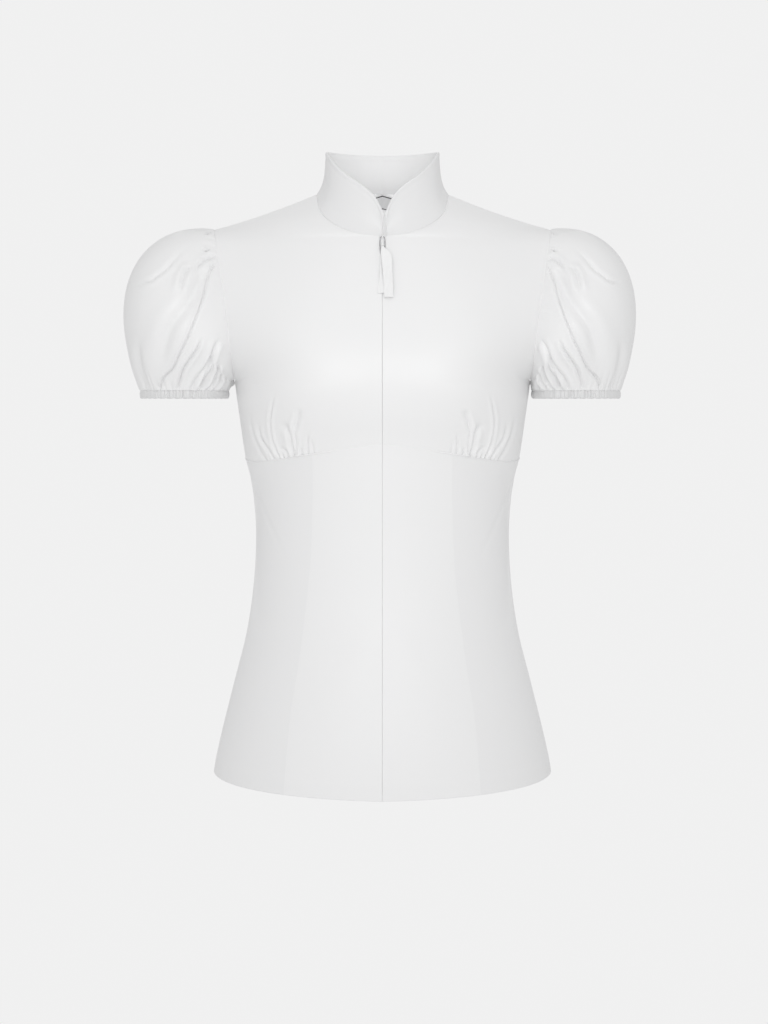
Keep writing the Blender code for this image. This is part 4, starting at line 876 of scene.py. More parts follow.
# The sleeves. turn runs round from the shoulder, down the front, to the underarm and up the back.
sleeveLook = {
    "puff": [  # turn, then the handle of the sleeve's curve at the armhole and at the cuff (x y z)
        (0.000, 0.078, 0.000, 0.010, 0.042, 0.000, 0.098),
        (0.125, 0.062, -0.030, 0.008, 0.032, -0.026, 0.086),
        (0.250, 0.034, -0.036, 0.000, 0.010, -0.032, 0.054),
        (0.375, 0.013, -0.022, -0.003, -0.002, -0.016, 0.020),
        (0.500, 0.003, 0.000, 0.001, -0.002, 0.000, 0.002),
        (0.625, 0.013, 0.022, -0.003, -0.002, 0.016, 0.020),
        (0.750, 0.034, 0.034, 0.000, 0.010, 0.032, 0.054),
        (0.875, 0.062, 0.028, 0.008, 0.032, 0.026, 0.086),
    ],
    "reach": {"Right": 1.0, "Left": 0.94},  # the left sleeve stands out a little less
    "cuffX": {"Right": 0.1980, "Left": 0.1935},
    "cuffY": 0.002,
    "cuffTop": -0.1940,
    "cuffHalfX": 0.0435,
    "cuffHalfY": 0.0510,
    "pitches": [  # turn, and the step to the next column there
        (0.0, 0.0030), (0.10, 0.0022), (0.16, 0.0016), (0.52, 0.0016), (0.60, 0.0030), (1.0, 0.0030)
    ],
    "rows": 88,
    "endRows": [0, 0.0015, 0.0035, 0.006, 0.009, 0.013],  # shares of the way down, at both ends
    "tuckBack": 0.0010,  # how far the cap goes back behind the edge of the armhole, and in
    "tuckIn": 0.0009,
    "creases": [
        {"deep": 0.0024, "wide": 0.0010, "fades": (0.2, 0.4), "banks": (0.4, 0.2),
         "line": [(0.1722, -0.0352), (0.1740, -0.0380), (0.1762, -0.0418)]},
        {"deep": 0.0030, "wide": 0.0010, "fades": (0.2, 0.4), "banks": (0.4, 0.3),
         "line": [(0.1701, -0.0543), (0.1725, -0.0560), (0.1750, -0.0591)]},
        {"deep": 0.0030, "wide": 0.0017, "fades": (0.05, 0.5), "banks": (0.5, 0.5),
         "line": [(0.1640, -0.0617), (0.1700, -0.0645), (0.1752, -0.0678), (0.1797, -0.0747),
                  (0.1827, -0.0828)]},
        {"deep": 0.0030, "wide": 0.0021, "fades": (0.25, 0.35), "banks": (0.4, 0.7),
         "line": [(0.1855, -0.0713), (0.1909, -0.0785), (0.1937, -0.0871), (0.1941, -0.0935),
                  (0.1967, -0.1045)]},
        {"deep": 0.0042, "wide": 0.0052, "fades": (0.12, 0.3), "banks": (0.4, 0.4),
         "line": [(0.1710, -0.0729), (0.1801, -0.0950), (0.1847, -0.1052), (0.1907, -0.1152),
                  (0.2050, -0.1345), (0.2147, -0.1623), (0.2200, -0.1800)]},
        {"deep": 0.0026, "wide": 0.0009, "fades": (0.04, 0.0), "banks": (0.15, 0.5), "opens": 0.2,
         "line": [(0.1640, -0.0680), (0.1679, -0.0768), (0.1705, -0.0878), (0.1736, -0.1040),
                  (0.1791, -0.1227), (0.1865, -0.1423), (0.1948, -0.1576), (0.2033, -0.1736),
                  (0.2136, -0.1833), (0.2177, -0.1935)]},
        {"deep": 0.0030, "wide": 0.0013, "fades": (0.25, 0.0), "banks": (0.4, 0.5),
         "line": [(0.1733, -0.1428), (0.1779, -0.1537), (0.1861, -0.1652), (0.1933, -0.1755),
                  (0.2003, -0.1940)]},
        {"deep": 0.0030, "wide": 0.0014, "fades": (0.2, 0.0), "banks": (0.4, 0.4),
         "line": [(0.1632, -0.1599), (0.1714, -0.1716), (0.1808, -0.1832), (0.1861, -0.1940)]},
        {"deep": 0.0034, "wide": 0.0017, "fades": (0.2, 0.0), "banks": (0.5, 0.4),
         "line": [(0.1560, -0.1450), (0.1592, -0.1475), (0.1640, -0.1600), (0.1700, -0.1740),
                  (0.1776, -0.1940)]},
        {"deep": 0.0032, "wide": 0.0011, "fades": (0.2, 0.0), "banks": (0.4, 0.4),
         "line": [(0.1640, -0.1660), (0.1668, -0.1750), (0.1725, -0.1840), (0.1800, -0.1940)]},
        {"deep": 0.0038, "wide": 0.0012, "fades": (0.2, 0.0), "banks": (0.5, 0.4),
         "line": [(0.1590, -0.1690), (0.1610, -0.1780), (0.1655, -0.1860), (0.1720, -0.1940)]},
        {"deep": 0.0036, "wide": 0.0011, "fades": (0.2, 0.0), "banks": (0.6, 0.5),
         "line": [(0.1573, -0.1766), (0.1600, -0.1850), (0.1660, -0.1940)]},
        {"deep": 0.0030, "wide": 0.0011, "fades": (0.2, 0.0), "banks": (0.6, 0.5),
         "line": [(0.1538, -0.1825), (0.1560, -0.1880), (0.1600, -0.1935)]},
        {"deep": 0.0018, "wide": 0.0018, "fades": (0.15, 0.5), "banks": (0.2, 0.5),
         "line": [(0.2410, -0.0883), (0.2319, -0.0889), (0.2249, -0.0871), (0.2197, -0.0828),
                  (0.2110, -0.0764), (0.1987, -0.0610), (0.1895, -0.0499)]},
        {"deep": 0.0026, "wide": 0.0034, "fades": (0.4, 0.0), "banks": (0.3, 0.4),
         "line": [(0.2360, -0.1420), (0.2390, -0.1600), (0.2370, -0.1780), (0.2310, -0.1940)]},
    ],
    "behindShift": (-0.003, 0.004),  # the same creases behind, moved a little
    "behindDepth": 0.85,
    "overCuff": 0.0006,  # how far the gathered cloth comes down over the band
    "cuffGathers": 34,  # how far they lean to either side, and the limits of their size
    "cuffGatherLean": 0.25,
    "cuffGatherReach": (0.010, 0.030),
    "cuffGatherDeep": (0.0006, 0.0017),
    "cuffGatherWide": (0.0009, 0.0016),
    "capGathers": 22,
    "capGatherLean": 0.2,
    "capGatherReach": (0.008, 0.022),
    "capGatherDeep": (0.0003, 0.0009),
    "capGatherWide": (0.0008, 0.0014),
    "flat": (0.420, 0.215),
    "flatArea": 0.0640,
    "seed": 11,
}


def armholeEdge(turn):
    # A point of the armhole's edge and the body's normal there.
    turn = np.mod(turn, 1.0)
    deep = seamLines["shoulder"] - seamLines["underArm"]
    inFront = turn <= 0.5
    downFront, upBack = 2 * turn * deep, (2 * turn - 1) * deep
    along = np.where(inFront, seamLines["shoulder"] - downFront, seamLines["underArm"] + upBack)
    ones = np.ones_like(turn)
    frontEdge = bodySurface(frontSections, ones, along)
    backEdge = bodySurface(backSections, ones, along)
    points = np.where(inFront[:, None], frontEdge, backEdge)
    frontNormal = surfaceNormals(frontSections, ones, along)
    backNormal = surfaceNormals(backSections, ones, along)
    normals = np.where(inFront[:, None], frontNormal, backNormal)
    atTop = np.minimum(turn, 1 - turn) < 1e-6
    normals[atTop] = unit(frontNormal + backNormal)[atTop]
    return points, normals


def cuffRing(turn, word, grow, z):
    # Points of the cuff's ring, grown outwards.
    angle = 2 * np.pi * turn
    x = sleeveLook["cuffX"][word] + (sleeveLook["cuffHalfX"] + grow) * np.cos(angle)
    y = sleeveLook["cuffY"] - (sleeveLook["cuffHalfY"] + grow) * np.sin(angle)
    return np.stack([x, y, np.broadcast_to(z, x.shape)], -1)


def sleeveSurface(word, turn, down):
    # Points of the smooth sleeve, on a grid of rows down and columns round.
    edge, body = armholeEdge(turn)
    ahead, behind = armholeEdge(turn + tinyStep)[0], armholeEdge(turn - tinyStep)[0]
    start = edge - sleeveLook["tuckBack"] * unit(np.cross(body, ahead - behind))
    rows = sleeveLook["puff"]
    count = len(rows)
    ringRows = [((i / count),) + rows[i % count][1:] for i in range(-2, count + 3)]
    handles = readRows(ringRows, np.mod(turn, 1.0))
    leave = handles[:, 1:4] * np.array([sleeveLook["reach"][word], 1, 1])
    arrive = handles[:, 4:7] * np.array([sleeveLook["reach"][word], 1, 1])
    end = cuffRing(turn, word, 0.0, sleeveLook["cuffTop"])
    t = down[:, None, None]
    return curve(start[None], (start + leave)[None], (end + arrive)[None], end[None], t), body


def lineValleys(turn, scale, down, valleys):
    # Short valleys of the gathers: each one's place round the edge, lean, reach, depth and width.
    lift = np.zeros_like(scale)
    for place, lean, reach, deep, wide in valleys:
        off = np.mod(turn - place - lean * down + 0.5, 1.0) - 0.5
        share = np.clip(down / reach, 0, 1)
        spread = wide * (1 + 1.2 * share)
        away = off * scale
        banks = 0.35 * np.exp(-(((np.abs(away) - 2.0 * spread) / spread) ** 2))
        profile = -np.exp(-((away / spread) ** 2)) + banks
        lift += deep * (1 - share) ** 1.3 * profile
    return lift


def drawValleys(random, kind, start, span):
    # Unevenly spaced valleys over a span of the turn, drawn at random within their limits.
    count = sleeveLook[kind + "Gathers"]
    lean = sleeveLook[kind + "GatherLean"]
    limits = [sleeveLook[kind + "Gather" + word] for word in ("Reach", "Deep", "Wide")]
    valleys = []
    for i in range(count):
        place = start + span * (i + random.uniform(-0.35, 0.35)) / count
        leaning = random.uniform(-lean, lean)
        valleys.append((place, leaning, *(random.uniform(*pair) for pair in limits)))
    return valleys


def addSleeve(name, word, side, node):
    turn = denser(0.0, 1.0, sleeveLook["pitches"])[:-1]
    fine = np.array(sleeveLook["endRows"])
    down = np.concatenate([fine, np.linspace(0.018, 0.982, sleeveLook["rows"]), 1 - fine[::-1]])
    points, body = sleeveSurface(word, turn, down)
    around = np.roll(points, -1, 1) - np.roll(points, 1, 1)
    own = unit(np.cross(np.gradient(points, axis=0), around))
    own *= np.sign((own * (points - points.mean(1, keepdims=True))).sum(-1, keepdims=True).mean())
    atUnderarm = (1 - smoothStep(0.03, 0.14, np.abs(turn - 0.5)))[None, :, None]
    share = smoothStep(0, 0.10, down)[:, None, None]
    normals = unit(unit(body[None] + own * atUnderarm) * (1 - share) + own * share)
    x, z = np.abs(points[..., 0]), points[..., 2]
    inFront = smoothStep(-0.12, 0.12, np.sin(2 * np.pi * turn))[None, :]
    # The creases are drawn for the right sleeve, as wide as that one stands out.
    x = x * (sleeveLook["cuffX"]["Right"] / sleeveLook["cuffX"][word])
    creases = creaseLift(x, z, sleeveLook["creases"]) * inFront
    shiftX, shiftZ = sleeveLook["behindShift"]
    behind = creaseLift(x + shiftX, z + shiftZ, sleeveLook["creases"])
    creases += behind * (1 - inFront) * sleeveLook["behindDepth"]
    fromCap = runLengths(points, 0)
    fromCuff = fromCap[-1:] - fromCap
    scale = np.broadcast_to(runLengths(points, 1)[:, -1:], creases.shape)
    random = np.random.default_rng(sleeveLook["seed"] + (word == "Left"))
    lift = creases * smoothStep(0.001, 0.005, fromCap)
    high = np.minimum(1.0, 0.35 + 1.3 * np.abs(turn - 0.5))[None, :]  # less under the arm
    gathered = np.zeros_like(lift)
    for kind, fromIt, span in (("cuff", fromCuff, (0.0, 1.0)), ("cap", fromCap, (-0.30, 0.60))):
        valleys = drawValleys(random, kind, *span)
        gathered += lineValleys(turn[None, :], scale, fromIt, valleys)
    tucked = 1 - smoothStep(0.0004, 0.0026, fromCap)
    lift = lift + gathered * high + seamPull(fromCap) - sleeveLook["tuckIn"] * tucked
    atEnd = smoothStep(0, 0.0035, fromCuff)
    lift = lift * (0.3 + 0.7 * atEnd) + 0.0004 * (1 - atEnd)
    fromEdge = np.minimum(sewn(fromCap), fromCuff)
    points[..., 2] -= sleeveLook["overCuff"] * (1 - smoothStep(0, 0.004, fromCuff))
    finishes = [whiteSatin, plainInside]
    piece = makePanel(name, points, normals, lift, fromEdge, side, finishes, ring=True)
    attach(piece, "garment")
    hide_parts(node)
    return piece


for word, side in sides.items():
    addSleeve("sleeve" + word, word, side, "sleeve_" + word.lower())
print("sleeves made")


# The narrow elastic bands of the sleeves, drawn into fine uneven ribs.
cuffLook = {
    "height": 0.0085,
    "thick": 0.0020,
    "bulge": 0.0012,
    "endsIn": 0.0007,  # how far its upper and lower edges are drawn in
    "ribs": 84,
    "ribDeep": 0.0015,
    "ribWide": 0.25,  # as a share of the way from one rib to the next
    "ribInside": 0.0002,  # how much of it is felt inside
    "ribWave": 0.00025,  # how far the lower edge goes up and down
    "gatheredAt": (0.23, 0.06),  # the turn where the ribs are deepest, and how far that spreads
    "columns": 672,
    "profile": [0, 0.04, 0.10, 0.2, 0.35, 0.5, 0.65, 0.8, 0.9, 0.96, 1],
    "flat": (0.380, 0.0100),  # of its width 8.5 mm shows
    "flatArea": 0.0032,
    "seed": 5,
}


def addCuff(name, word, side, node):
    turn = np.arange(cuffLook["columns"]) / cuffLook["columns"]
    random = np.random.default_rng(cuffLook["seed"] + (word == "Left"))
    ribs = cuffLook["ribs"]
    strength = random.uniform(0.5, 1.0, ribs)
    places = (np.arange(ribs) + random.uniform(-0.3, 0.3, ribs)) / ribs
    fromMiddle = np.abs(np.mod(places + 0.25, 0.5) - 0.25)
    deepest, spread = cuffLook["gatheredAt"]
    strength = strength * (0.35 + 1.0 * np.exp(-(((fromMiddle - deepest) / spread) ** 2)))
    off = np.mod(turn[:, None] - places[None, :] + 0.5, 1.0) - 0.5
    valleys = -(strength * np.exp(-((off * ribs / cuffLook["ribWide"]) ** 2))).sum(1)
    down = np.array(cuffLook["profile"])
    bulge = np.sqrt(np.clip(1 - (2 * down - 1) ** 2, 0, 1))
    top = sleeveLook["cuffTop"] - cloth["seamGap"]
    wave = cuffLook["ribWave"] * np.sin(2 * np.pi * turn * ribs / 2.7)
    skins = []
    for d, b in zip(down, bulge):
        z = top - cuffLook["height"] * d + wave * d
        out = cuffLook["bulge"] * b + cuffLook["ribDeep"] * valleys * (0.5 + 0.5 * b)
        drawn = cuffLook["endsIn"] * (1 - b)
        within = -cuffLook["thick"] + drawn + cuffLook["ribInside"] * valleys
        skins.append((cuffRing(turn, word, out - drawn, z), cuffRing(turn, word, within, z)))
    outer, inner = np.stack([o for o, _ in skins]), np.stack([i for _, i in skins])
    faces = gridFaces(len(down), len(turn), True)
    uv = gridUv(outer, True)
    outer, inner = (outer * side).reshape(-1, 3), (inner * side).reshape(-1, 3)
    piece = makeShell(name, outer, inner, faces, uv, [bandSatin, bandSatin])
    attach(piece, "garment")
    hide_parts(node)
    return piece


for word, side in sides.items():
    addCuff("cuff" + word, word, side, "cuff_" + word.lower())
print("cuffs made")


# The stand collar.
collarLook = {
    "freeEdge": [  # the share of the way from centre front to centre back, and x y z there
        (0.028, 0.0023, -0.0570, -0.0240),
        (0.060, 0.0046, -0.0558, -0.0155),
        (0.103, 0.0101, -0.0540, -0.0046),
        (0.167, 0.0205, -0.0500, 0.0056),
        (0.278, 0.0365, -0.0405, 0.0175),
        (0.403, 0.0488, -0.0255, 0.0305),
        (0.458, 0.0549, -0.0100, 0.0400),
        (0.500, 0.0570, 0.0030, 0.0440),
        (0.625, 0.0520, 0.0240, 0.0462),
        (0.750, 0.0390, 0.0395, 0.0464),
        (0.875, 0.0205, 0.0495, 0.0462),
        (1.000, 0.0000, 0.0515, 0.0460),
    ],
    "thick": 0.0020,
    "dip": 0.0040,  # how far it curves in between the seam and its free edge
    "dipAt": 0.38,
    "tuck": 0.0004,  # how far it starts in and down behind the neck's edge
    "lean": 0.0019,  # how far the front edges stand over to the left
    "leanWide": 0.017,
    "edgeRoll": [(0.0003, 0.0022, 0.0012), (-0.0002, 0.0052, 0.0016)],  # height, place and width
    "columns": 130,
    "high": 0.045,
    "pitch": 0.0016,
    "flat": (0.400, 0.062),
    "flatArea": 0.0170,
}


def necklinePoints(share):
    # The neckline from centre front (share 0) to centre back (share 1).
    s = np.asarray(share)
    shoulder, frontNeck, backNeck = (seamLines[k] for k in ("shoulder", "frontNeck", "backNeck"))
    frontAlong = frontNeck + 2 * np.minimum(s, 0.5) * (shoulder - frontNeck)
    backAlong = backNeck + 2 * (1 - np.maximum(s, 0.5)) * (shoulder - backNeck)
    zero = np.zeros_like(s)
    inFront = bodySurface(frontSections, zero, frontAlong)
    behind = bodySurface(backSections, zero, backAlong)
    return np.where((s <= 0.5)[:, None], inFront, behind)


def addCollar(name, node):
    first = collarLook["freeEdge"][0][0]
    length = 0.2
    spaced = stations(length, length / collarLook["columns"], True, False) / length
    share = first + (1 - first) * spaced
    seam = necklinePoints(share) - np.array([0, 0, collarLook["tuck"]])
    free = readRows(collarLook["freeEdge"], share)[:, 1:]
    level = unit(seam * np.array([1.0, 1.0, 0.0]))
    up = stations(collarLook["high"], collarLook["pitch"]) / collarLook["high"]
    u = up[None, :, None]
    points = seam[:, None] + (free - seam)[:, None] * u
    dip = (u / collarLook["dipAt"]) * np.exp(1 - u / collarLook["dipAt"]) * (1 - u**4)
    tucked = 1 - smoothStep(0, 0.06, u)
    points = points - level[:, None] * (collarLook["dip"] * dip + collarLook["tuck"] * tucked)
    # From the right front edge round the back to the left one.
    points = np.concatenate([points * mirrorX, points[-2::-1]])
    nearFront = np.exp(-((points[..., 0] / collarLook["leanWide"]) ** 2)) * (points[..., 1] < 0)
    points[..., 0] += collarLook["lean"] * nearFront
    level = np.concatenate([level * mirrorX, level[-2::-1]])
    across = np.roll(points, -1, 0) - np.roll(points, 1, 0)
    across[0], across[-1] = points[1] - points[0], points[-1] - points[-2]
    normals = unit(np.cross(across, np.gradient(points, axis=1)))
    normals *= np.sign((normals * level[:, None]).sum(-1, keepdims=True))
    run, high = runLengths(points, 0), runLengths(points, 1)
    fromSeam, fromFree = high, high[:, -1:] - high
    fromFront = np.minimum(run, run[-1:] - run)
    lift = np.zeros_like(fromFree)
    for height, place, wide in collarLook["edgeRoll"]:
        lift = lift + height * np.exp(-(((fromFree - place) / wide) ** 2))
    fromEdge = np.minimum.reduce([sewn(fromSeam), fromFree, fromFront])
    # The collar takes the darker satin, which is painted shade.
    finishes, thick = [shadedCollarSatin, plainInside], collarLook["thick"]
    piece = makePanel(name, points, normals, lift, fromEdge, asIs, finishes, thick=thick)
    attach(piece, "garment")
    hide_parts(node)
    return piece


addCollar("standCollar", "collar")
print("collar made")


# The zip: its tape and closed teeth behind the edges of the fronts.
zipLook = {
    "tapeHalf": 0.011,
    "tapeRows": 170,
    "tapeBehind": 0.0020,  # from the front's surface to the tape
    "tapeThick": 0.0005,
    "tapeTop": 0.5435,
    "teeth": (-0.5780, -0.0510),  # the heights between which they stand
    "toothPitch": 0.0013,
    "toothHalf": 0.0015,
    "toothWire": 0.00028,
    "toothBow": 0.00022,
    "toothShares": (-1.0, -0.45, 0.25, 0.6),  # places along a tooth
    "toothBehind": 0.0013,
    "toothSides": 5,
    "flat": (0.022, 0.560),
}


def centreLine(z):
    # The front's centre line at some heights, with the outward and downward directions there.
    along = np.linspace(0, seamLines["frontNeck"], 2200)
    line = bodySurface(frontSections, np.zeros_like(along), along)
    y = np.interp(z, line[:, 2], line[:, 1])
    lean = np.interp(z, line[:, 2], np.gradient(line[:, 1], line[:, 2]))
    zero = np.zeros_like(y)
    points = np.stack([zero, y, z + zero], -1)
    out = unit(np.stack([zero, -np.ones_like(y), lean], -1))
    down = np.stack([zero, -np.abs(out[..., 2]), -np.abs(out[..., 1])], -1)
    return points, out, down


def stripAcross(sections, along, half, columns, samples):
    # A strip that lies across the middle of the front or back: its points and normals.
    shares = np.linspace(-1, 1, columns)
    flip = np.stack([np.where(shares < 0, -1.0, 1.0), np.ones(columns), np.ones(columns)], -1)
    dense = np.linspace(0, 0.4, samples)
    rowPoints, rowNormals = [], []
    for a in along:
        row = bodySurface(sections, dense, np.full_like(dense, a))
        across = np.interp(np.abs(shares) * half, row[:, 0], dense)
        rowPoints.append(bodySurface(sections, across, np.full_like(across, a)) * flip)
        normals = surfaceNormals(sections, across, np.full_like(across, a))
        normals[np.abs(shares) < 1e-6, 0] = 0.0
        rowNormals.append(unit(normals * flip))
    return np.stack(rowPoints), np.stack(rowNormals)


def addZipTape(name, node):
    along = np.linspace(0, zipLook["tapeTop"], zipLook["tapeRows"])
    points, normals = stripAcross(frontSections, along, zipLook["tapeHalf"], 13, 120)
    run = runLengths(points, 1)
    fromEdge = np.minimum(run, run[:, -1:] - run)
    lift = np.full(points.shape[:2], -zipLook["tapeBehind"])
    finishes, thick = [zipTapeCloth, zipTapeCloth], zipLook["tapeThick"]
    piece = makePanel(name, points, normals, lift, fromEdge, asIs, finishes, thick=thick)
    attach(piece, "garment")
    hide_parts(node)
    return piece


def tube(path, radius, sides, closed=False, across=None):
    # A round wire along a path: its points and its faces.
    path = np.asarray(path, float)
    ahead = np.roll(path, -1, 0) - np.roll(path, 1, 0)
    if not closed:
        ahead[0], ahead[-1] = path[1] - path[0], path[-1] - path[-2]
    ahead = unit(ahead)
    across = np.array([0.0, 0.0, 1.0]) if across is None else across
    first = unit(np.cross(ahead, across))
    second = np.cross(ahead, first)
    angle = (2 * np.pi * np.arange(sides) / sides)[None, :, None]
    circle = np.cos(angle) * first[:, None] + np.sin(angle) * second[:, None]
    rings = path[:, None] + radius * circle
    count = len(path)
    faces = []
    for i in range(count if closed else count - 1):
        for k in range(sides):
            a, b = i * sides, ((i + 1) % count) * sides
            faces.append((a + k, b + k, b + (k + 1) % sides, a + (k + 1) % sides))
    if not closed:
        faces.append(tuple(range(sides)))
        faces.append(tuple(range((count - 1) * sides, count * sides))[::-1])
    return rings.reshape(-1, 3), faces


def joined(parts):
    # Several sets of points and faces as one.
    vertices, faces, start = [], [], 0
    for points, own in parts:
        vertices.append(points)
        faces += [tuple(int(i) + start for i in face) for face in own]
        start += len(points)
    return np.concatenate(vertices), faces


def addZipTeeth(name):
    heights = np.arange(*zipLook["teeth"], zipLook["toothPitch"] / 2)
    points, out, _ = centreLine(heights)
    parts = []
    for i, (point, outward) in enumerate(zip(points, out)):
        hand = 1 if i % 2 else -1  # one tooth from the left, the next from the right
        middle = point - zipLook["toothBehind"] * outward
        path = []
        for share in zipLook["toothShares"]:
            rise = outward * zipLook["toothBow"] * (1 - share**2)
            path.append(middle + np.array([hand * share * zipLook["toothHalf"], 0, 0]) + rise)
        parts.append(tube(path, zipLook["toothWire"], zipLook["toothSides"]))
    vertices, faces = joined(parts)
    piece = makeMesh(name, vertices, faces, [zipTapeCloth])
    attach(piece, "garment")
    return piece


addZipTape("zipTape", "zip_tape")
addZipTeeth("zipTeeth")
print("zip made")


# The slider, the wire loop on its crown and the ribbon drawn through the loop. Lengths run down
# from the hinge and out from the front.
pullLook = {
    "hingeZ": -0.0470,  # the hinge's height, and how far it stands out from the front
    "hingeLift": 0.0024,
    "plate": [  # down, and half the width there
        (-0.0022, 0.0012), (-0.0012, 0.0019), (0.0005, 0.0023), (0.0030, 0.0024),
        (0.0075, 0.0024), (0.0092, 0.0020), (0.0100, 0.0014),
    ],
    "plateBack": -0.0017,  # its back and front, measured out from the fronts' surface
    "plateFront": 0.0015,
    "plateRound": 0.0005,
    "crownRadius": 0.0024,
    "crownWire": 0.00055,
    "loopHalfWidth": 0.0021,
    "loopLength": 0.0125,
    "loopWire": 0.00042,
    "loopRounding": 0.0014,
    "wireSides": 12,
    "ribbonThick": 0.0005,
    "ribbonPinch": 0.0012,  # half its width where it turns round the loop
    "ribbonClear": 0.0003,
    "ribbonTurn": 7,
    "ribbonBack": [  # each tail: down, the middle's x, half the width, and how far it is lifted
        (0.0552, -0.0006, 0.0042, 0.0010), (0.0440, 0.0006, 0.0040, 0.0010),
        (0.0300, 0.0014, 0.0038, 0.0010), (0.0180, 0.0012, 0.0032, 0.0010),
    ],
    "ribbonFront": [
        (0.0180, 0.0034, 0.0046, 0.0034), (0.0300, 0.0046, 0.0047, 0.0027),
        (0.0440, 0.0055, 0.0045, 0.0026), (0.0600, 0.0062, 0.0044, 0.0026),
    ],
    "ribbonCurl": 0.0005,
    "ribbonFlat": (0.010, 0.100),
}


def hinge(below=0.0):
    # The front's point at some distance below the hinge, and the ways out and down there.
    points, out, down = centreLine(np.array([pullLook["hingeZ"] - below]))
    return points[0], out[0], down[0]


def addSlider(name, node):
    origin, out, down = hinge()
    rows = pullLook["plate"]
    outline = [(h, d) for d, h in rows] + [(-h, d) for d, h in rows[::-1]]
    mesh = bmesh.new()
    ends = []
    for lift in (pullLook["plateBack"], pullLook["plateFront"]):
        level = origin + lift * out
        ends.append([mesh.verts.new(level + x * right + d * down) for x, d in outline])
    mesh.faces.new(ends[0][::-1])
    mesh.faces.new(ends[1])
    count = len(outline)
    for i in range(count):
        j = (i + 1) % count
        mesh.faces.new((ends[0][i], ends[0][j], ends[1][j], ends[1][i]))
    bmesh.ops.recalc_face_normals(mesh, faces=mesh.faces)
    rims = [mesh.edges.get((end[i], end[(i + 1) % count])) for end in ends for i in range(count)]
    rounding = {"offset": pullLook["plateRound"], "segments": 3, "affect": "EDGES", "profile": 0.5}
    bmesh.ops.bevel(mesh, geom=rims, **rounding)
    corners = np.array([vertex.co for vertex in mesh.verts])
    plate = (corners, [tuple(vertex.index for vertex in face.verts) for face in mesh.faces])
    mesh.free()
    angle = np.linspace(0, np.pi, 17)
    rise = pullLook["crownRadius"] * np.sin(angle) + pullLook["plateFront"]
    path = origin - (pullLook["crownRadius"] * np.cos(angle))[:, None] * down + rise[:, None] * out
    sunk = pullLook["crownWire"] * out
    path = np.concatenate([[path[0] - sunk], path, [path[-1] - sunk]])
    crown = tube(path, pullLook["crownWire"], pullLook["wireSides"], across=right)
    piece = makeMesh(name, *joined([plate, crown]), [lacquer])
    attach(piece, "garment")
    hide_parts(node)
    return piece


def addLoop(name, node):
    origin, out, down = hinge()
    centre = origin + pullLook["hingeLift"] * out
    r = pullLook["loopRounding"]
    path = []
    for signX, signDown, start in ((1, 0, 270), (1, 1, 0), (-1, 1, 90), (-1, 0, 180)):
        middleX = signX * (pullLook["loopHalfWidth"] - r)
        middleDown = pullLook["loopLength"] - r if signDown else r
        for k in range(7):
            angle = math.radians(start + 90 * k / 6)
            x, d = middleX + r * math.cos(angle), middleDown + r * math.sin(angle)
            path.append(centre + x * right + d * down)
    wire = tube(path, pullLook["loopWire"], pullLook["wireSides"], closed=True, across=out)
    piece = makeMesh(name, *wire, [platedMetal])
    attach(piece, "pull")
    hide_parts(node)
    return piece


def addRibbon(name, node):
    origin, out, down = hinge()
    bar = origin + pullLook["hingeLift"] * out + pullLook["loopLength"] * down
    radius = pullLook["loopWire"] + pullLook["ribbonClear"] + pullLook["ribbonThick"] / 2
    # Its ribs, up the tail behind, round the loop's lower end and down the tail in front.
    ribs = []
    for d, middle, half, lift in pullLook["ribbonBack"]:
        point, outward, _ = hinge(d)
        ribs.append((*(point + lift * outward), *outward, middle, half))
    for k in range(pullLook["ribbonTurn"]):
        angle = np.pi * k / (pullLook["ribbonTurn"] - 1)
        facing = -math.cos(angle) * out - math.sin(angle) * down
        ribs.append((*(bar + radius * facing), *(-facing), 0.0, pullLook["ribbonPinch"]))
    for d, middle, half, lift in pullLook["ribbonFront"]:
        point, outward, _ = hinge(d)
        ribs.append((*(point + lift * outward), *(-outward), middle, half))
    ribs = np.array(ribs)
    run = np.concatenate([[0], np.cumsum(np.linalg.norm(np.diff(ribs[:, :3], axis=0), axis=1))])
    table = np.concatenate([run[:, None], ribs], 1)
    behind = run[len(pullLook["ribbonBack"]) - 1]
    before = run[-len(pullLook["ribbonFront"])]
    keys = np.concatenate([np.linspace(0, run[-1], 90), np.linspace(behind, before, 40)])
    keys = np.sort(keys)
    rows = readRows(table, keys)
    shares = np.linspace(-1, 1, 13)
    tail = smoothStep(0.004, 0.02, np.minimum(np.abs(keys - behind), np.abs(keys - before)))
    curl = pullLook["ribbonCurl"] * np.sin(shares * 3.1 + keys[:, None] * 160) * tail[:, None]
    places = (rows[:, 7:8] + shares * rows[:, 8:9])[..., None]
    points = rows[:, None, 1:4] + places * right
    across = runLengths(points, 1)
    fromEdge = np.minimum(across, across[:, -1:] - across) + 0.0006
    normals = np.broadcast_to(unit(rows[:, 4:7])[:, None], points.shape)
    finishes, thick = [ribbonSatin, ribbonSatin], pullLook["ribbonThick"]
    lift = curl + thick / 2
    piece = makePanel(name, points, normals, lift, fromEdge, asIs, finishes, thick=thick)
    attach(piece, "pull")
    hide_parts(node)
    return piece


addSlider("zipSlider", "zip_slider")
addLoop("pullLoop", "pull_loop")
addRibbon("pullRibbon", "pull_ribbon")
print("slider, loop and ribbon made")


# The small blank label inside the back of the neck.
labelLook = {
    "half": 0.012,
    "reach": (0.5650, 0.558),  # its top and bottom, as distances up the back
    "rows": 16,
    "columns": 41,
    "border": (1, 2),  # how many faces wide the dark edge is, up and across
    "behind": 0.0025,
    "thick": 0.0005,
    "raised": 0.0010,
    "flat": (0.025, 0.0152),
}


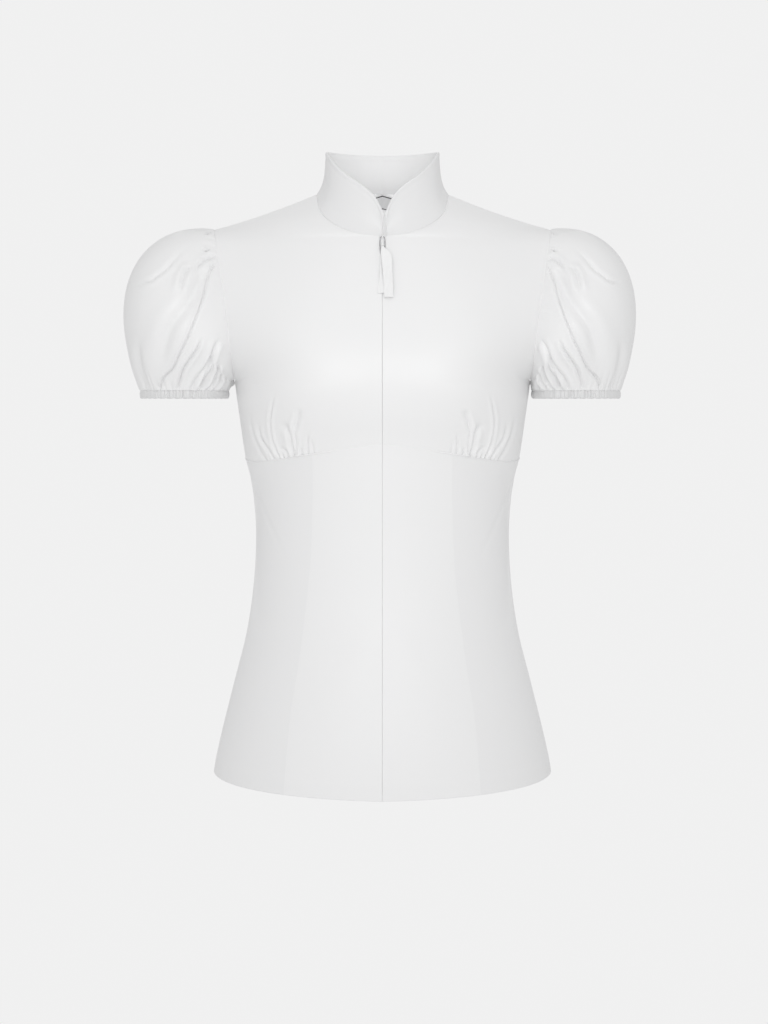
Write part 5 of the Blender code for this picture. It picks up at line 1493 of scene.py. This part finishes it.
def addLabel(name, node):
    rows, columns = labelLook["rows"], labelLook["columns"]
    along = np.linspace(*labelLook["reach"], rows)
    points, normals = stripAcross(backSections, along, labelLook["half"], columns, 200)
    points[..., 2] += labelLook["raised"]
    across = runLengths(points, 1)
    fromEdge = np.minimum(across, across[:, -1:] - across) + 0.0004
    lift = np.full(points.shape[:2], -labelLook["behind"])
    finishes, thick = [wovenLabel, wovenLabel, labelEdging], labelLook["thick"]
    piece = makePanel(name, points, normals, lift, fromEdge, asIs, finishes, thick=thick)
    # The border runs round both skins, and the edge between them takes its finish too.
    row, column = np.divmod(np.arange((rows - 1) * (columns - 1)), columns - 1)
    upward, inward = labelLook["border"]
    border = np.minimum(row, rows - 2 - row) < upward
    border |= np.minimum(column, columns - 2 - column) < inward
    edge = np.ones(len(piece.data.polygons) - 2 * len(border), bool)
    dark = np.concatenate([border, border, edge])
    piece.data.polygons.foreach_set("material_index", np.where(dark, 2, 0).astype(np.int32))
    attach(piece, "garment")
    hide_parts(node)
    return piece


addLabel("neckLabel", "label")
print("label made")


# The studio: a level camera at the photograph's distance, a plain pale floor and soft white light.
studio = {
    "cameraPlace": (0.0015, -2.0, -0.204),
    "lens": 70.3125,
    "sensor": 36.0,
    "shiftDown": 112 / 1024,
    "nearAndFar": (0.05, 60.0),
    "paleTone": 0.875,
    "floorZ": -1.40,
    "floorRadius": 9.0,
    "roomLight": (0.80, 0.67),  # from straight below and from straight above
    "lamps": [  # name, place, the point it is aimed at, and power
        ("frontSoftbox", (0.0, -1.15, 0.06), (0, 0, -0.20), 3.5),
        ("topSoftbox", (0.0, -0.7, 1.3), (0, 0, -0.05), 1.0),
    ],
    "lampSize": 0.8,
}


def plainTone(name):
    # A surface of one even tone, whatever light falls on it.
    made = bpy.data.materials.new(name)
    made.use_nodes = True
    tree = made.node_tree
    tree.nodes.clear()
    glow = tree.nodes.new("ShaderNodeEmission")
    glow.inputs["Color"].default_value = (studio["paleTone"],) * 3 + (1.0,)
    glow.inputs["Strength"].default_value = 1.0
    output = tree.nodes.new("ShaderNodeOutputMaterial")
    tree.links.new(glow.outputs["Emission"], output.inputs["Surface"])
    return made


def addStudio():
    pale = plainTone("paleBackdrop")
    mesh = bmesh.new()
    bmesh.ops.create_uvsphere(mesh, u_segments=48, v_segments=24, radius=studio["floorRadius"])
    for vertex in mesh.verts:
        vertex.co.z = max(vertex.co.z, studio["floorZ"])
    data = bpy.data.meshes.new("backdrop")
    mesh.to_mesh(data)
    mesh.free()
    data.materials.append(pale)
    backdrop = bpy.data.objects.new("backdrop", data)
    bpy.context.scene.collection.objects.link(backdrop)
    backdrop.visible_diffuse = False
    backdrop.visible_glossy = False
    backdrop.visible_shadow = False
    backdrop.visible_transmission = False
    for name, place, aim, power in studio["lamps"]:
        light = bpy.data.lights.new(name, "AREA")
        light.size = studio["lampSize"]
        light.energy = power
        lamp = bpy.data.objects.new(name, light)
        lamp.visible_camera = False
        bpy.context.scene.collection.objects.link(lamp)
        toward = np.array(aim) - np.array(place)
        tilt = math.acos(-toward[2] / np.linalg.norm(toward))
        turn = math.atan2(toward[1], toward[0]) - math.pi / 2
        lamp.location = place
        lamp.rotation_euler = (tilt, 0.0, turn)
    world = bpy.data.worlds.new("softRoom")
    bpy.context.scene.world = world
    world.use_nodes = True
    tree = world.node_tree
    sky = tree.nodes["Background"]
    sky.inputs["Color"].default_value = (1.0, 1.0, 1.0, 1.0)
    direction = tree.nodes.new("ShaderNodeTexCoord").outputs["Generated"]
    split = tree.nodes.new("ShaderNodeSeparateXYZ")
    tree.links.new(direction, split.inputs["Vector"])
    fromBelow, fromAbove = studio["roomLight"]
    level = tree.nodes.new("ShaderNodeMapRange")
    level.inputs["From Min"].default_value = -1.0
    level.inputs["To Min"].default_value = fromBelow
    level.inputs["To Max"].default_value = fromAbove
    tree.links.new(split.outputs["Z"], level.inputs["Value"])
    tree.links.new(level.outputs["Result"], sky.inputs["Strength"])
    bpy.context.scene.view_settings.view_transform = "Standard"


def addCamera():
    data = bpy.data.cameras.new("camera")
    data.lens = studio["lens"]
    data.sensor_width = studio["sensor"]
    data.shift_y = -studio["shiftDown"]
    data.clip_start, data.clip_end = studio["nearAndFar"]
    camera = bpy.data.objects.new("camera", data)
    bpy.context.scene.collection.objects.link(camera)
    camera.location = studio["cameraPlace"]
    camera.rotation_euler = (math.pi / 2, 0.0, 0.0)
    bpy.context.scene.camera = camera


addStudio()
addCamera()
print("studio made")
